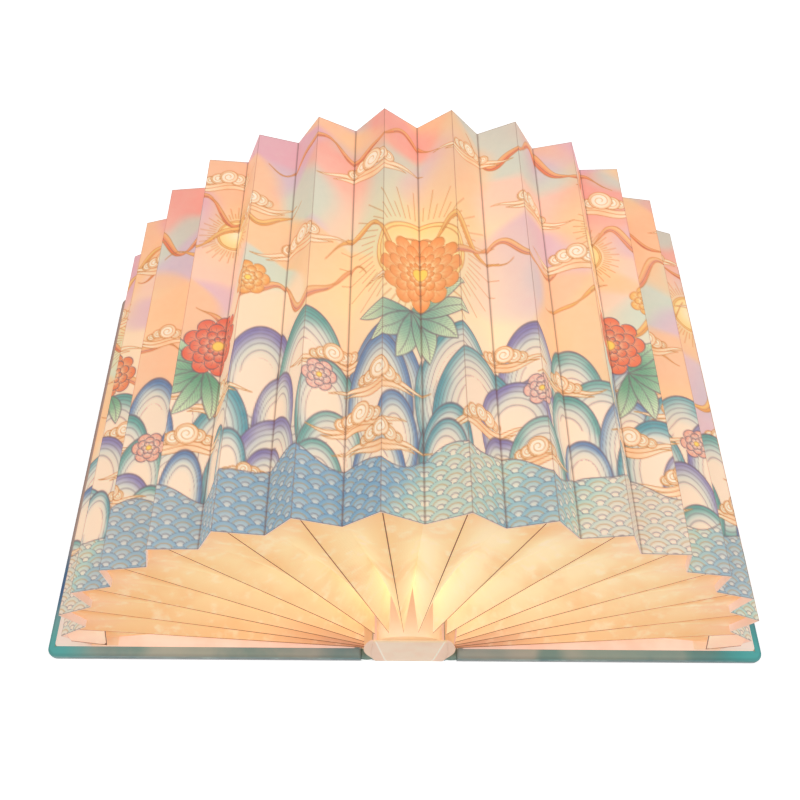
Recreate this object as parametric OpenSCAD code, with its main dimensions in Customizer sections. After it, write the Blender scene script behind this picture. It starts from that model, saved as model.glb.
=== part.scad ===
// Folding book lamp: a hard-cover book that opens flat and spreads a pleated paper fan.
// X runs across the open book, Y along the spine with the front at -Y, Z up.
// The origin is on the table, under the middle of the spine.

/* [Covers] */
// Length of the covers along the spine
cover_len = 210; // [180:1:260]
// Reach of a cover from its hinge line to its fore edge
cover_reach = 145; // [144:0.5:170]
// Thickness of the board inside each cover and the spine
board_t = 2.5; // [2:0.1:3]
// Thickness of the printed wrap
wrap_t = 0.3; // [0.2:0.05:0.5]
// Radius of a cover's outer corners
corner_r = 4.5; // [3.5:0.5:14]
// Width of the wrap that is turned in over the inside of a cover at its ends
turn_in = 5; // [3:0.5:8]
// Width of the wrap that is turned in at a cover's fore edge
fore_turn_in = 3; // [2:0.5:3.5]
// Width of the strip that glues the fan's last fold to a cover
glue_tab_w = 12; // [8:1:20]

/* [Spine] */
// Width of the spine board
spine_w = 33; // [31:0.5:37]
// Distance from the spine board to a hinge line
spine_groove = 3; // [2.5:0.1:4]
// Distance from a hinge line to the cover board
cover_groove = 2.5; // [2.3:0.1:4]
// Thickness of the cloth in a hinge groove
cloth_t = 0.4; // [0.3:0.05:0.6]
// Height of the hinge lines above the table
hinge_z = 1.5; // [1:0.1:2]

/* [Fan] */
// Pleats on each side of the fan
pleats = 8; // [6:1:10]
// Distance of the fan's ends from the ends of the covers
page_inset = 5; // [3:0.5:12]
// Distance of the closed crests inside the covers' fore edges
fore_inset = 0; // [0:0.5:6]
// Length that the crests lose from the middle to the covers
crest_loss = 4.5; // [2:0.5:8]
// Depth of a valley fold below the crests beside it
pleat_depth = 11; // [8:0.5:13]
// Half the width that the closed pleats take up
block_half = 17.5; // [16.9:0.1:17.5]
// Thickness of the paper
paper_t = 0.35; // [0.25:0.05:0.45]
// Space left at a valley fold between two pleats
fold_gap = 0.1; // [0.05:0.05:0.2]

/* [Fan ends] */
// Distance that the printed strips stand out over the end panels
overhang = 3.5; // [1:0.5:5]
// Distance from a pleat's root to its inner tooth
tooth_len = 22; // [20:0.5:24]
// Largest distance of a tooth from the middle of the spine
tooth_x = 20.5; // [20:0.1:22.5]
// Depth of a strip's valley edge behind the fan's end
shallow = 0.5; // [0.5:0.5:3]
// Depth of a valley's inner end behind the fan's end
deep = 14; // [8:1:18]
// Distance of the middle valley's inner end from its base
slit_mid = 40; // [30:1:50]
// Distance of the last valley's inner end from its base
slit_side = 5; // [4:0.5:8]
// Rows of facets along an end panel
panel_rows = 4; // [2:1:8]

/* [Light bar] */
// Distance of the light bar's ends from the ends of the spine
bar_inset = 5.6; // [5.4:0.1:12]
// Width of the bar's tray
tray_w = 30; // [29.5:0.1:30.4]
// Height of the tray
tray_h = 6.4; // [6.2:0.1:7]
// Thickness of the tray's sides
tray_wall = 1.5; // [1.2:0.1:1.8]
// Thickness of the tray's floor
tray_floor = 1.2; // [1:0.1:1.4]
// Thickness of the tape that holds the tray
tape_t = 0.3; // [0.2:0.1:0.5]
// Distance of the tape's edges from the tray's edges
tape_inset = 2; // [1:0.5:4]
// Height of the arched diffuser
arch_h = 7.6; // [6:0.1:8]
// Width of the arched diffuser
arch_w = 28; // [27.2:0.1:28.4]
// Thickness of the diffuser
arch_wall = 1.2; // [0.8:0.1:1.6]

/* [Electrics] */
// Thickness of the long board that carries the diodes
strip_t = 1; // [0.8:0.1:1.2]
// Diodes in each of the two rows
diodes = 15; // [8:1:18]
// Length of a diode across the bar
diode_l = 3.5; // [2:0.1:5]
// Width of a diode
diode_w = 2.8; // [1.6:0.1:4]
// Height of a diode
diode_h = 0.8; // [0.6:0.1:1.2]
// Distance of a row of diodes from the middle of the bar
diode_row = 6; // [4:0.5:8]
// Distance of the outermost diodes from the ends of their board
diode_end = 8; // [4:0.5:12]
// Width of the battery pouch
cell_w = 23; // [16:0.5:24]
// Length of the battery pouch
cell_len = 92; // [60:1:100]
// Thickness of the battery pouch
cell_t = 3.6; // [3:0.1:3.8]
// Width of the control board
control_w = 24; // [23:0.5:24.4]
// Length of the control board
control_len = 62; // [60:1:68]
// Thickness of the control board
control_t = 0.8; // [0.6:0.1:1]
// Height of the bosses under the control board
boss_h = 0.4; // [0.3:0.1:0.6]
// Diameter of the bosses
boss_d = 4.4; // [3.6:0.1:5]
// Diameter of the screws that hold the control board
screw_d = 1.6; // [1.2:0.1:2]
// Diameter of a screw's head
screw_head_d = 3.4; // [2.8:0.1:4]
// Height of a screw's head
screw_head_h = 0.9; // [0.6:0.1:1.2]
// Distance of a screw from the control board's edges
screw_edge = 3; // [2.5:0.1:4]
// Width of the charging socket's shell
socket_w = 8.9; // [8:0.1:9.2]
// Length of the charging socket's shell
socket_len = 9.4; // [8:0.1:10.5]
// Height of the charging socket's shell
socket_h = 3.2; // [3:0.1:3.3]
// Distance that the socket stands out of the tray
socket_out = 3.6; // [2:0.1:4]
// Diameter of the reed switch
reed_d = 2.2; // [1.8:0.1:2.4]
// Length of the reed switch
reed_len = 14; // [10:1:16]
// Diameter of the sensor magnet
magnet_d = 6; // [5:0.5:8]
// Thickness of the sensor magnet
magnet_t = 1.8; // [1:0.1:2]
// Diameter of a wire
wire_d = 1.2; // [0.8:0.1:1.4]
// Distance of a wire from the middle of the bar
wire_x = 3; // [2:0.5:5]

/* [End flaps] */
// Height of the paper flap at each end of the spine
flap_h = 18; // [16:0.5:19]
// Width of a flap's top edge
flap_top_w = 32; // [26:1:33]
// Width of a flap at its widest
flap_w = 35.2; // [33.4:0.2:35.4]
// Width of a flap's foot
flap_foot_w = 31; // [18:1:32]
// Thickness of a flap
flap_t = 0.4; // [0.3:0.05:0.5]
// Distance that a flap leans in from its foot to its top
flap_lean = 3.8; // [3:0.1:4]

/* [Hidden] */
$fn = 48;
hinge_x = spine_w / 2 + spine_groove;
cover_in = hinge_x + cover_groove;
cover_out = hinge_x + cover_reach;
cover_t = board_t + 2 * wrap_t;
spine_len = cover_len - 2 * flap_t;
page_len = cover_len - 2 * page_inset;
fan_z = cover_t + paper_t + fold_gap / 2;
crest_mid = cover_reach + hinge_z - fan_z - fore_inset;
step = 90 / pleats;
small_gap = 0.15;

// Levels and widths of the light bar, from the spine up
tray_z = cover_t + tape_t;
tray_top = tray_z + tray_h;
bay_z = tray_z + tray_floor;
strip_z = tray_top - small_gap - strip_t;
board_z = bay_z + boss_h;
board_top = board_z + control_t;
ledge_w = 1.2;
bar_len = spine_len - 2 * bar_inset;
bay_w = tray_w - 2 * tray_wall;
bay_len = bar_len - 2 * tray_wall;
well_w = bay_w - 2 * ledge_w;
well_len = bay_len - 2 * ledge_w;

// Places of the electric pieces along the bar
control_y = well_len / 2 - control_len / 2 - 2 * small_gap;
lead_len = (well_len - control_len - cell_len) / 2;
cell_y = control_y - control_len / 2 - lead_len - cell_len / 2;
socket_y = bar_len / 2 + socket_out - socket_len / 2;
socket_z = board_z + small_gap;
reed_place = [control_w / 2 - reed_d, control_y - reed_len / 2];
screw_x = control_w / 2 - screw_edge;
screw_y = control_len / 2 - 2 * screw_edge;
screw_places = [[-screw_x, control_y - screw_y], [screw_x, control_y + screw_y]];
screw_tip = tray_z + tray_floor / 2;
magnet_place = [cover_in + magnet_d, reed_place[1]];

// Shell, back wall and tongue of the charging socket
shell_t = 0.3;
shell_back = 2;
tongue_t = 0.7;

// Chips on the control board: place of a corner from the board's middle, size
chips = [
    [[-6, -14], [5, 5, 0.9]],
    [[2, -2], [4, 5, 1.1]],
    [[-8, 6], [4.2, 4.2, 1.8]],
];

base_nodes = [
    "spine_board", "spine_wrap", "spine_liner", "mounting_tape", "bar_tray", "bar_diffuser",
    "diode_board", "diodes", "battery_cell", "control_board", "control_chips", "charging_socket",
    "reed_switch", "lead_wires", "board_screws", "front_flap", "back_flap",
    "hinge_cloth_right", "hinge_cloth_left",
];
cover_nodes = [
    for (side = ["right", "left"])
        for (piece = ["cover_board_", "cover_wrap_", "end_sheet_", "glue_tab_"])
            str(piece, side)
];
pleat_nodes = [
    for (side = ["right", "left"])
        for (i = [1:pleats])
            str("pleat_", side, "_", i)
];

// Point and direction on the section of the fan at an angle from upright
function root_at(a) = [block_half * a / 90, fan_z];
function way(a) = [sin(a), cos(a)];
function crest_len(a) = crest_mid - crest_loss * pow(a / 90, 2);
function crest_at(a) = root_at(a) + crest_len(a) * way(a);
function valley_at(a) = root_at(a) + (crest_len(a) - pleat_depth) * way(a);
function tooth_at(a) = root_at(a) + min(tooth_len, (tooth_x - root_at(a)[0]) / sin(a)) * way(a);
function slit_at(a) = root_at(a) + (slit_mid + (slit_side - slit_mid) * a / 90) * way(a);

function unit(v) = v / norm(v);
function at_end(p, depth) = [p[0], -page_len / 2 + depth, p[1]];
function flip_y(points) = [for (p = points) [p[0], -p[1], p[2]]];
function turned(face) = [for (k = [len(face) - 1:-1:0]) face[k]];
function shifted(faces, n) = [for (f = faces) [for (k = f) k + n]];

// Move from a surface corner to the other side of the paper, between two faces
function behind(n, m) = -paper_t * (n + m) / (1 + n * m);

// Middle of the paper's thickness below a fold of the strips, at an angle from upright
function under(p, a) = p - 0.65 * paper_t * way(a);

// Fold lines of an end panel, from under the strips inward, a valley a fold gap off its neighbour
function fold_line(outer, inner) = [for (k = [0:panel_rows]) outer + (inner - outer) * k / panel_rows];
function crest_line(a) = fold_line(at_end(under(crest_at(a), a), overhang), at_end(tooth_at(a), 0));
function valley_line(a, inward) =
    fold_line(at_end(under(valley_at(a), a) + inward, overhang), at_end(slit_at(a) + inward, deep));

// Normals of a panel along its rows
function panel_normals(crest, valley, turn) = [
    for (k = [0:panel_rows]) turn * unit(cross(crest[1] - crest[0], valley[k] - crest[k]))
];

// Faces round the rim of a sheet whose inner points follow n places after its outer points
function rim_faces(rim, n) = [
    for (k = [0:len(rim) - 1])
        let (p = rim[k], q = rim[(k + 1) % len(rim)])
        each [[q, p, p + n], [q, p + n, q + n]]
];

// A sheet from its outer faces and their rim
module sheet(outer_points, inner_points, outer_faces, rim) {
    n = len(outer_points);
    polyhedron(
        points = concat(outer_points, inner_points),
        faces = concat(outer_faces, [for (f = shifted(outer_faces, n)) turned(f)], rim_faces(rim, n))
    );
}

// The two printed strips that meet at a crest
module strip_pair(a, inward) {
    crest = at_end(crest_at(a), 0);
    before = at_end(valley_at(a - step / 2) + inward, shallow);
    after = at_end(valley_at(a + step / 2) - inward, shallow);
    nb = unit(cross([0, 1, 0], before - crest));
    na = unit(cross(after - crest, [0, 1, 0]));
    outer = [crest, before, after];
    inner = [crest + behind(nb, na), before - paper_t * nb, after - paper_t * na];
    faces = [[0, 3, 5], [0, 5, 2], [0, 1, 4], [0, 4, 3]];
    sheet(concat(outer, flip_y(outer)), concat(inner, flip_y(inner)), faces, [0, 1, 4, 3, 5, 2]);
}

// The two end panels that meet at a crest, at the front
module panel_pair(a, inward) {
    crest = crest_line(a);
    before = valley_line(a - step / 2, inward);
    after = valley_line(a + step / 2, -inward);
    nb = panel_normals(crest, before, -1);
    na = panel_normals(crest, after, 1);
    inner = concat(
        [for (k = [0:panel_rows]) crest[k] + behind(nb[k], na[k])],
        [for (k = [0:panel_rows]) before[k] - paper_t * nb[k]],
        [for (k = [0:panel_rows]) after[k] - paper_t * na[k]]
    );
    b = panel_rows + 1;
    c = 2 * b;
    faces = [for (k = [0:panel_rows - 1]) each [
        [k, c + k, c + k + 1], [k, c + k + 1, k + 1], [k, b + k + 1, b + k], [k, k + 1, b + k + 1]
    ]];
    rim = concat(
        [0], [for (k = [0:panel_rows]) c + k], [panel_rows], [for (k = [panel_rows:-1:0]) b + k]
    );
    sheet(concat(crest, before, after), inner, faces, rim);
}

// One pleat: its strips, and its panels at both ends
module pleat_sheet(i) {
    a = step * (i - 0.5);
    inward = fold_gap * [cos(a), -sin(a)];
    union() {
        strip_pair(a, inward);
        panel_pair(a, inward);
        mirror([0, 1, 0]) panel_pair(a, inward);
    }
}

module pleat_right(i) {
    color("moccasin") pleat_sheet(i);
}

module pleat_left(i) {
    color("moccasin") mirror([1, 0, 0]) pleat_sheet(i);
}

// Outline of a cover or a sheet on it, with round corners at the fore edge
module cover_outline(inset, fore, r) {
    x0 = cover_in + min(inset, wrap_t);
    x1 = cover_out - fore;
    y1 = cover_len / 2 - inset;
    union() {
        translate([x0, -y1]) square([x1 - r - x0, 2 * y1]);
        translate([x0, -y1 + r]) square([x1 - x0, 2 * (y1 - r)]);
        for (s = [-1, 1]) translate([x1 - r, s * (y1 - r)]) circle(r);
    }
}

module cover_board(pocket) {
    color("tan") difference() {
        translate([0, 0, wrap_t]) linear_extrude(board_t) cover_outline(wrap_t, wrap_t, corner_r - wrap_t);
        if (pocket) {
            translate([magnet_place[0], magnet_place[1], wrap_t + board_t - magnet_t])
                cylinder(d = magnet_d + 0.1, h = magnet_t + 1);
        }
    }
}

module cover_wrap() {
    color("cadetblue") difference() {
        linear_extrude(cover_t) cover_outline(0, 0, corner_r);
        translate([0, 0, wrap_t]) linear_extrude(board_t) cover_outline(wrap_t, wrap_t, corner_r - wrap_t);
        translate([0, 0, wrap_t]) linear_extrude(cover_t)
            cover_outline(turn_in, fore_turn_in, corner_r - fore_turn_in);
    }
}

module end_sheet() {
    color("seashell") translate([0, 0, wrap_t + board_t])
        linear_extrude(wrap_t) cover_outline(turn_in, fore_turn_in, corner_r - fore_turn_in);
}

module glue_tab() {
    color("bisque") translate([valley_at(90)[0] - glue_tab_w, -page_len / 2 + shallow, cover_t])
        cube([glue_tab_w, page_len - 2 * shallow, paper_t]);
}

module sensor_magnet() {
    color("silver") translate([magnet_place[0], magnet_place[1], wrap_t + board_t - magnet_t])
        cylinder(d = magnet_d, h = magnet_t);
}

// A block centred on the spine, from one level to another
module bar_block(w, l, z0, z1) {
    translate([-w / 2, -l / 2, z0]) cube([w, l, z1 - z0]);
}

module spine_board() {
    color("tan") bar_block(spine_w, spine_len - 2 * wrap_t, wrap_t, wrap_t + board_t);
}

module spine_wrap() {
    color("cadetblue") difference() {
        bar_block(spine_w + 2 * wrap_t, spine_len, 0, cover_t);
        bar_block(spine_w, spine_len - 2 * wrap_t, wrap_t, wrap_t + board_t);
        bar_block(spine_w, spine_len - 2 * turn_in, wrap_t, cover_t + 1);
    }
}

module spine_liner() {
    color("seashell") bar_block(spine_w, spine_len - 2 * turn_in, wrap_t + board_t, cover_t);
}

module hinge_cloth() {
    color("steelblue") translate([spine_w / 2 + wrap_t, -spine_len / 2, hinge_z - cloth_t / 2])
        cube([cover_in - spine_w / 2 - wrap_t, spine_len, cloth_t]);
}

module mounting_tape() {
    color("white") bar_block(tray_w - 2 * tape_inset, bar_len - 2 * tape_inset, cover_t, tray_z);
}

module bar_tray() {
    color("whitesmoke") difference() {
        union() {
            difference() {
                bar_block(tray_w, bar_len, tray_z, tray_top);
                bar_block(bay_w, bay_len, strip_z, tray_top + 1);
                bar_block(well_w, well_len, bay_z, tray_top + 1);
            }
            for (p = screw_places) translate([p[0], p[1], screw_tip])
                cylinder(d = boss_d, h = board_z - screw_tip);
        }
        for (p = screw_places) translate([p[0], p[1], screw_tip]) cylinder(d = screw_d, h = tray_h);
        socket_cut(small_gap, tray_wall + ledge_w + 1);
    }
}

// Opening round the charging socket, from a depth inside the tray's end outward
module socket_cut(gap, depth) {
    translate([-socket_w / 2 - gap, bar_len / 2 - depth, socket_z - gap])
        cube([socket_w + 2 * gap, depth + bar_inset, socket_h + 2 * gap]);
}

// Arched section of the diffuser, a half ellipse
module arch_outline(w, h) {
    polygon([for (k = [0:36]) [w / 2 * cos(5 * k), h * sin(5 * k)]]);
}

module bar_diffuser() {
    inner_len = bar_len - 2 * arch_wall;
    color("ivory") translate([0, 0, tray_top]) rotate([90, 0, 0]) difference() {
        translate([0, 0, -bar_len / 2]) linear_extrude(bar_len) arch_outline(arch_w, arch_h);
        translate([0, -0.01, -inner_len / 2]) linear_extrude(inner_len)
            arch_outline(arch_w - 2 * arch_wall, arch_h - arch_wall);
    }
}

module diode_board() {
    color("white") bar_block(bay_w - 2 * small_gap, bay_len - 2 * small_gap, strip_z, strip_z + strip_t);
}

module diode_group() {
    pitch = (bay_len - 2 * diode_end) / (diodes - 1);
    color("gold") for (s = [-1, 1]) for (k = [0:diodes - 1])
        translate([s * diode_row, (k - (diodes - 1) / 2) * pitch, strip_z + strip_t])
            translate([-diode_l / 2, -diode_w / 2, 0]) cube([diode_l, diode_w, diode_h]);
}

module battery_cell() {
    color("silver") translate([0, cell_y, bay_z]) linear_extrude(cell_t)
        translate([-cell_w / 2, -cell_len / 2]) square([cell_w, cell_len]);
}

module control_board() {
    color("darkgreen") difference() {
        translate([-control_w / 2, control_y - control_len / 2, board_z])
            cube([control_w, control_len, control_t]);
        for (p = screw_places) translate([p[0], p[1], bay_z]) cylinder(d = screw_d + small_gap, h = tray_h);
        translate([-socket_w / 2 - small_gap, socket_y - socket_len / 2 - small_gap, bay_z])
            cube([socket_w + 2 * small_gap, socket_len, tray_h]);
    }
}

module control_chips() {
    color("dimgray") for (c = chips)
        translate([c[0][0], control_y + c[0][1], board_top]) cube(c[1]);
}

module charging_socket() {
    color("silver") translate([0, socket_y - socket_len / 2, socket_z + socket_h / 2]) rotate([-90, 0, 0])
        difference() {
            linear_extrude(socket_len) socket_outline(socket_w, socket_h);
            translate([0, 0, shell_back]) linear_extrude(socket_len) difference() {
                socket_outline(socket_w - 2 * shell_t, socket_h - 2 * shell_t);
                square([socket_w - socket_h, tongue_t], center = true);
            }
        }
}

// Outline with round ends
module socket_outline(w, h) {
    square([w - h, h], center = true);
    for (s = [-1, 1]) translate([s * (w - h) / 2, 0]) circle(d = h);
}

module reed_switch() {
    color("palegreen") translate([reed_place[0], reed_place[1] - reed_len / 2, board_top + reed_d / 2])
        rotate([-90, 0, 0]) cylinder(d = reed_d, h = reed_len);
}

module lead_wires() {
    y0 = cell_y + cell_len / 2;
    y1 = control_y - control_len / 2;
    color("firebrick") for (s = [-1, 1]) {
        translate([s * wire_x, y0, bay_z + wire_d / 2]) rotate([-90, 0, 0])
            cylinder(d = wire_d, h = y1 - y0);
        translate([s * wire_x, y1 + wire_x, board_top]) cylinder(d = wire_d, h = strip_z - board_top);
    }
}

module board_screws() {
    color("gray") for (p = screw_places) translate([p[0], p[1], screw_tip]) {
        cylinder(d = screw_d, h = board_top - screw_tip);
        translate([0, 0, board_top - screw_tip]) cylinder(d = screw_head_d, h = screw_head_h);
    }
}

// Front view of a flap: narrow foot, wide ears, straight top edge
module flap_outline() {
    foot = flap_foot_w / 2;
    top = flap_top_w / 2;
    wide = flap_w / 2;
    foot_z = 0.1;
    ear_z = flap_h * 0.45;
    low = [for (k = [0:8]) let (a = 90 * k / 8)
        [foot + (wide - foot) * sin(a), foot_z + (ear_z - foot_z) * (1 - cos(a))]];
    high = [for (k = [1:5]) let (a = 90 * k / 5)
        [top + (wide - top) * cos(a), ear_z + (flap_h - ear_z) * sin(a)]];
    half = concat(low, high);
    polygon(concat(half, [for (p = turned(half)) [-p[0], p[1]]]));
}

// Side view of a flap: upright over the spine's edge, then leaning in over the fan's end
module flap_profile() {
    y = spine_len / 2;
    polygon([
        [y, 0], [y + flap_t, 0], [y + flap_t, cover_t + 0.2], [y + flap_t - flap_lean, flap_h + 1],
        [y - flap_lean, flap_h + 1], [y, cover_t + 0.2]
    ]);
}

module flap() {
    intersection() {
        rotate([90, 0, 90]) translate([0, 0, -flap_w]) linear_extrude(2 * flap_w) flap_profile();
        translate([0, cover_len, 0]) rotate([90, 0, 0]) linear_extrude(cover_len) flap_outline();
    }
}

module front_flap() {
    color("mistyrose") mirror([0, 1, 0]) flap();
}

module back_flap() {
    color("mistyrose") difference() {
        flap();
        socket_cut(2 * small_gap, 0);
    }
}

spine_board();
spine_wrap();
spine_liner();
mounting_tape();
bar_tray();
bar_diffuser();
diode_board();
diode_group();  // diodes
battery_cell();
control_board();
control_chips();
charging_socket();
reed_switch();
lead_wires();
board_screws();
front_flap();
back_flap();
hinge_cloth();  // hinge_cloth_right
mirror([1, 0, 0]) hinge_cloth();  // hinge_cloth_left
cover_board(true);  // cover_board_right
mirror([1, 0, 0]) cover_board(false);  // cover_board_left
cover_wrap();  // cover_wrap_right
mirror([1, 0, 0]) cover_wrap();  // cover_wrap_left
end_sheet();  // end_sheet_right
mirror([1, 0, 0]) end_sheet();  // end_sheet_left
glue_tab();  // glue_tab_right
mirror([1, 0, 0]) glue_tab();  // glue_tab_left
sensor_magnet();
for (i = [1:pleats]) pleat_right(i);
for (i = [1:pleats]) pleat_left(i);
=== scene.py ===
"""Looks of a folding book lamp: a hard-cover book, open flat, with a lit fan of printed pleats.

Lengths are in metres and the frame is the CAD model's: X across the open book, Y along the spine with
the front at -Y, Z up from the table. The printed picture is worked out in millimetres on the unrolled
paper, where u runs across the folds from the middle and v along the spine.
"""

from __future__ import annotations

import logging
import math
from dataclasses import dataclass, field
from enum import Enum, IntEnum

import bpy
import numpy as np
from mathutils import Matrix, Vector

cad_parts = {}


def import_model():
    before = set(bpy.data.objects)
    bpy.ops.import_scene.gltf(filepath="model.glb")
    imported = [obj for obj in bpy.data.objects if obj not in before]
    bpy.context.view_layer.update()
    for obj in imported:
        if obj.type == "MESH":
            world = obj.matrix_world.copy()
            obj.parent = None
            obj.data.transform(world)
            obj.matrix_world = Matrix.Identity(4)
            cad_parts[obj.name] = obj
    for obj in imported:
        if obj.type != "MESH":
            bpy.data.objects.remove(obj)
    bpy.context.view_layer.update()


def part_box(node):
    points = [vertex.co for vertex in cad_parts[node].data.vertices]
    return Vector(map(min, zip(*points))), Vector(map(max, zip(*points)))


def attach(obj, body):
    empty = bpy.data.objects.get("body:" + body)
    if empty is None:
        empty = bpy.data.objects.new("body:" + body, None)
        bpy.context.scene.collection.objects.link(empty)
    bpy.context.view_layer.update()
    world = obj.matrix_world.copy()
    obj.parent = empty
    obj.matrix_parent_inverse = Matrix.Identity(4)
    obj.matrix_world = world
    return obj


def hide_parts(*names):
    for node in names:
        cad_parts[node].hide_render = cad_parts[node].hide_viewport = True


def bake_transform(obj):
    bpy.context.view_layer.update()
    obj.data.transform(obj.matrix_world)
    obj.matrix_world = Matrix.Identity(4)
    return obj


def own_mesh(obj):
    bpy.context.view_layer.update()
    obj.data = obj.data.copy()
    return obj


MM = 0.001
FAR = 9.0
WELD = 1e-7
QUARTER = math.pi / 2
log = logging.getLogger("book_lamp")


class Side(Enum):
    """The two halves of the open book, with the sign of their X."""

    RIGHT = 1
    LEFT = -1

    @property
    def word(self) -> str:
        """The side's name as the CAD nodes spell it."""
        return self.name.lower()


class Layer(IntEnum):
    """Places of a leaf's materials in its list."""

    PRINT = 0
    PANEL = 1
    INNER = 2


class Pen(Enum):
    """The inks that the print's lines are drawn with, and the dark line at the strips' cut ends, partly the
    paper's edge and partly painted shade, as screen colours.
    """

    INK = "5b4a5c"
    GILT = "b4702a"
    EDGE = "5e4038"


def tone(code: str) -> np.ndarray:
    """Colour as it shows on a screen, from six hexadecimal digits.

    Args:
        code: Red, green and blue, two digits each.

    Returns:
        Three values from 0 to 1.
    """
    return np.array([int(code[k : k + 2], 16) / 255 for k in (0, 2, 4)])


def linear(color: np.ndarray) -> np.ndarray:
    """Light values of screen colours: the lower stretch is straight, the rest a power of 2.4."""
    return np.where(color <= 0.04045, color / 12.92, ((np.maximum(color, 0) + 0.055) / 1.055) ** 2.4)


def paint_of(code: str) -> tuple[float, float, float, float]:
    """A socket's value for a screen colour given as six hexadecimal digits."""
    return (*(float(c) for c in linear(tone(code))), 1.0)


def smooth(low: float, high: float, x: np.ndarray) -> np.ndarray:
    """Smooth step: 0 below low, 1 above high, and 3t squared less 2t cubed between them."""
    t = np.clip((x - low) / (high - low), 0, 1)
    return t * t * (3 - 2 * t)


def mixed(a: np.ndarray, b: np.ndarray, share: np.ndarray) -> np.ndarray:
    """Colours a and b mixed, with the given share of b at each point."""
    return a + (b - a) * np.clip(share, 0, 1)[..., None]


# Meshes


@dataclass
class Patch:
    """A grid of points with values at each, which joins others into one mesh.

    Its finish is the place of its material in the object's list.
    """

    points: np.ndarray
    outward: tuple[float, float, float]
    values: dict[str, np.ndarray]
    finish: int = 0

    def faces(self) -> np.ndarray:
        """Quads of the grid, turned so that their mean normal looks outward.

        Returns:
            Indices of each quad's corners, counted within this patch.
        """
        rows, cols = self.points.shape[:2]
        index = np.arange(rows * cols).reshape(rows, cols)
        quads = np.stack([index[:-1, :-1], index[1:, :-1], index[1:, 1:], index[:-1, 1:]], -1).reshape(-1, 4)
        down = self.points[1:, :-1] - self.points[:-1, :-1]
        across = self.points[:-1, 1:] - self.points[:-1, :-1]
        normal = np.cross(down, across).reshape(-1, 3).sum(0)
        return quads if normal @ np.array(self.outward) > 0 else quads[:, ::-1]


def places(rows: int, cols: int) -> list[np.ndarray]:
    """Places down the rows and across the columns of a grid of cells, both from 0 to 1."""
    return list(np.meshgrid(np.linspace(0, 1, rows + 1), np.linspace(0, 1, cols + 1), indexing="ij"))


def ruled(a0: np.ndarray, a1: np.ndarray, b0: np.ndarray, b1: np.ndarray, rows: int, cols: int) -> np.ndarray:
    """Ruled surface between the line from a0 to a1 and the line from b0 to b1.

    A point is (1 - t) * (a0 + r * (a1 - a0)) + t * (b0 + r * (b1 - b0)), with r down the rows and t
    across the columns, both from 0 to 1.

    Args:
        a0: Start of the first line.
        a1: End of the first line.
        b0: Start of the second line.
        b1: End of the second line.
        rows: Number of grid cells along the lines.
        cols: Number of grid cells from line to line.

    Returns:
        Points in an array of rows + 1 by cols + 1 by 3.
    """
    r, t = (place[..., None] for place in places(rows, cols))
    return (1 - t) * (a0 + r * (a1 - a0)) + t * (b0 + r * (b1 - b0))


def shell(grid: np.ndarray, shift: np.ndarray, folded: bool = True) -> list[Patch]:
    """Inner side and rims of a leaf's sheet.

    Args:
        grid: Points of the sheet's outer side.
        shift: Way from an outer point to the inner one, for all points or for each.
        folded: Whether the sheet goes on past its first column, which then has no rim.

    Returns:
        The inner side and the rims.
    """
    inner = grid + shift
    sides = [(inner, np.broadcast_to(shift, grid.shape).reshape(-1, 3).mean(0))]
    lines = [((0,), (1,)), ((-1,), (-2,)), ((slice(None), -1), (slice(None), -2))]
    if not folded:
        lines.append(((slice(None), 0), (slice(None), 1)))
    for line, behind in lines:
        sides.append((np.stack([grid[line], inner[line]]), (grid[line] - grid[behind]).mean(0)))
    found = []
    for points, way in sides:
        far = FAR + 0 * points[..., 0]
        found.append(Patch(points, tuple(way), {"paint": 0 * points, "fold": far, "rim": far}, Layer.INNER))
    return found


def new_object(name: str, points: np.ndarray, faces: list, soft: bool = False) -> bpy.types.Object:
    """A mesh object in the scene, at the origin.

    Args:
        name: Name of the object.
        points: Vertices, one row each.
        faces: Vertex indices of each face.
        soft: Whether the faces are shaded smooth.

    Returns:
        The new object.
    """
    mesh = bpy.data.meshes.new(name)
    mesh.from_pydata(points.tolist(), [], faces)
    mesh.validate()
    mesh.polygons.foreach_set("use_smooth", np.full(len(mesh.polygons), soft))
    piece = bpy.data.objects.new(name, mesh)
    bpy.context.scene.collection.objects.link(piece)
    return piece


def handed(faces: list, side: Side) -> list:
    """Faces for a side of the book: those of the mirrored left side run the other way round."""
    return [face[::-1] for face in faces] if side is Side.LEFT else faces


def put_values(piece: bpy.types.Object, values: dict[str, np.ndarray]) -> None:
    """Stores values at the vertices: three columns as a colour, one as a number.

    Args:
        piece: The mesh object.
        values: Attribute names, with an array of one row per vertex.
    """
    for name, value in values.items():
        if value.ndim == 2:
            shown = np.ones((len(value), 4), np.float32)
            shown[:, :3] = value
            attribute = piece.data.attributes.new(name, "FLOAT_COLOR", "POINT")
            attribute.data.foreach_set("color", shown.ravel())
        else:
            attribute = piece.data.attributes.new(name, "FLOAT", "POINT")
            attribute.data.foreach_set("value", value.astype(np.float32))


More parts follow.
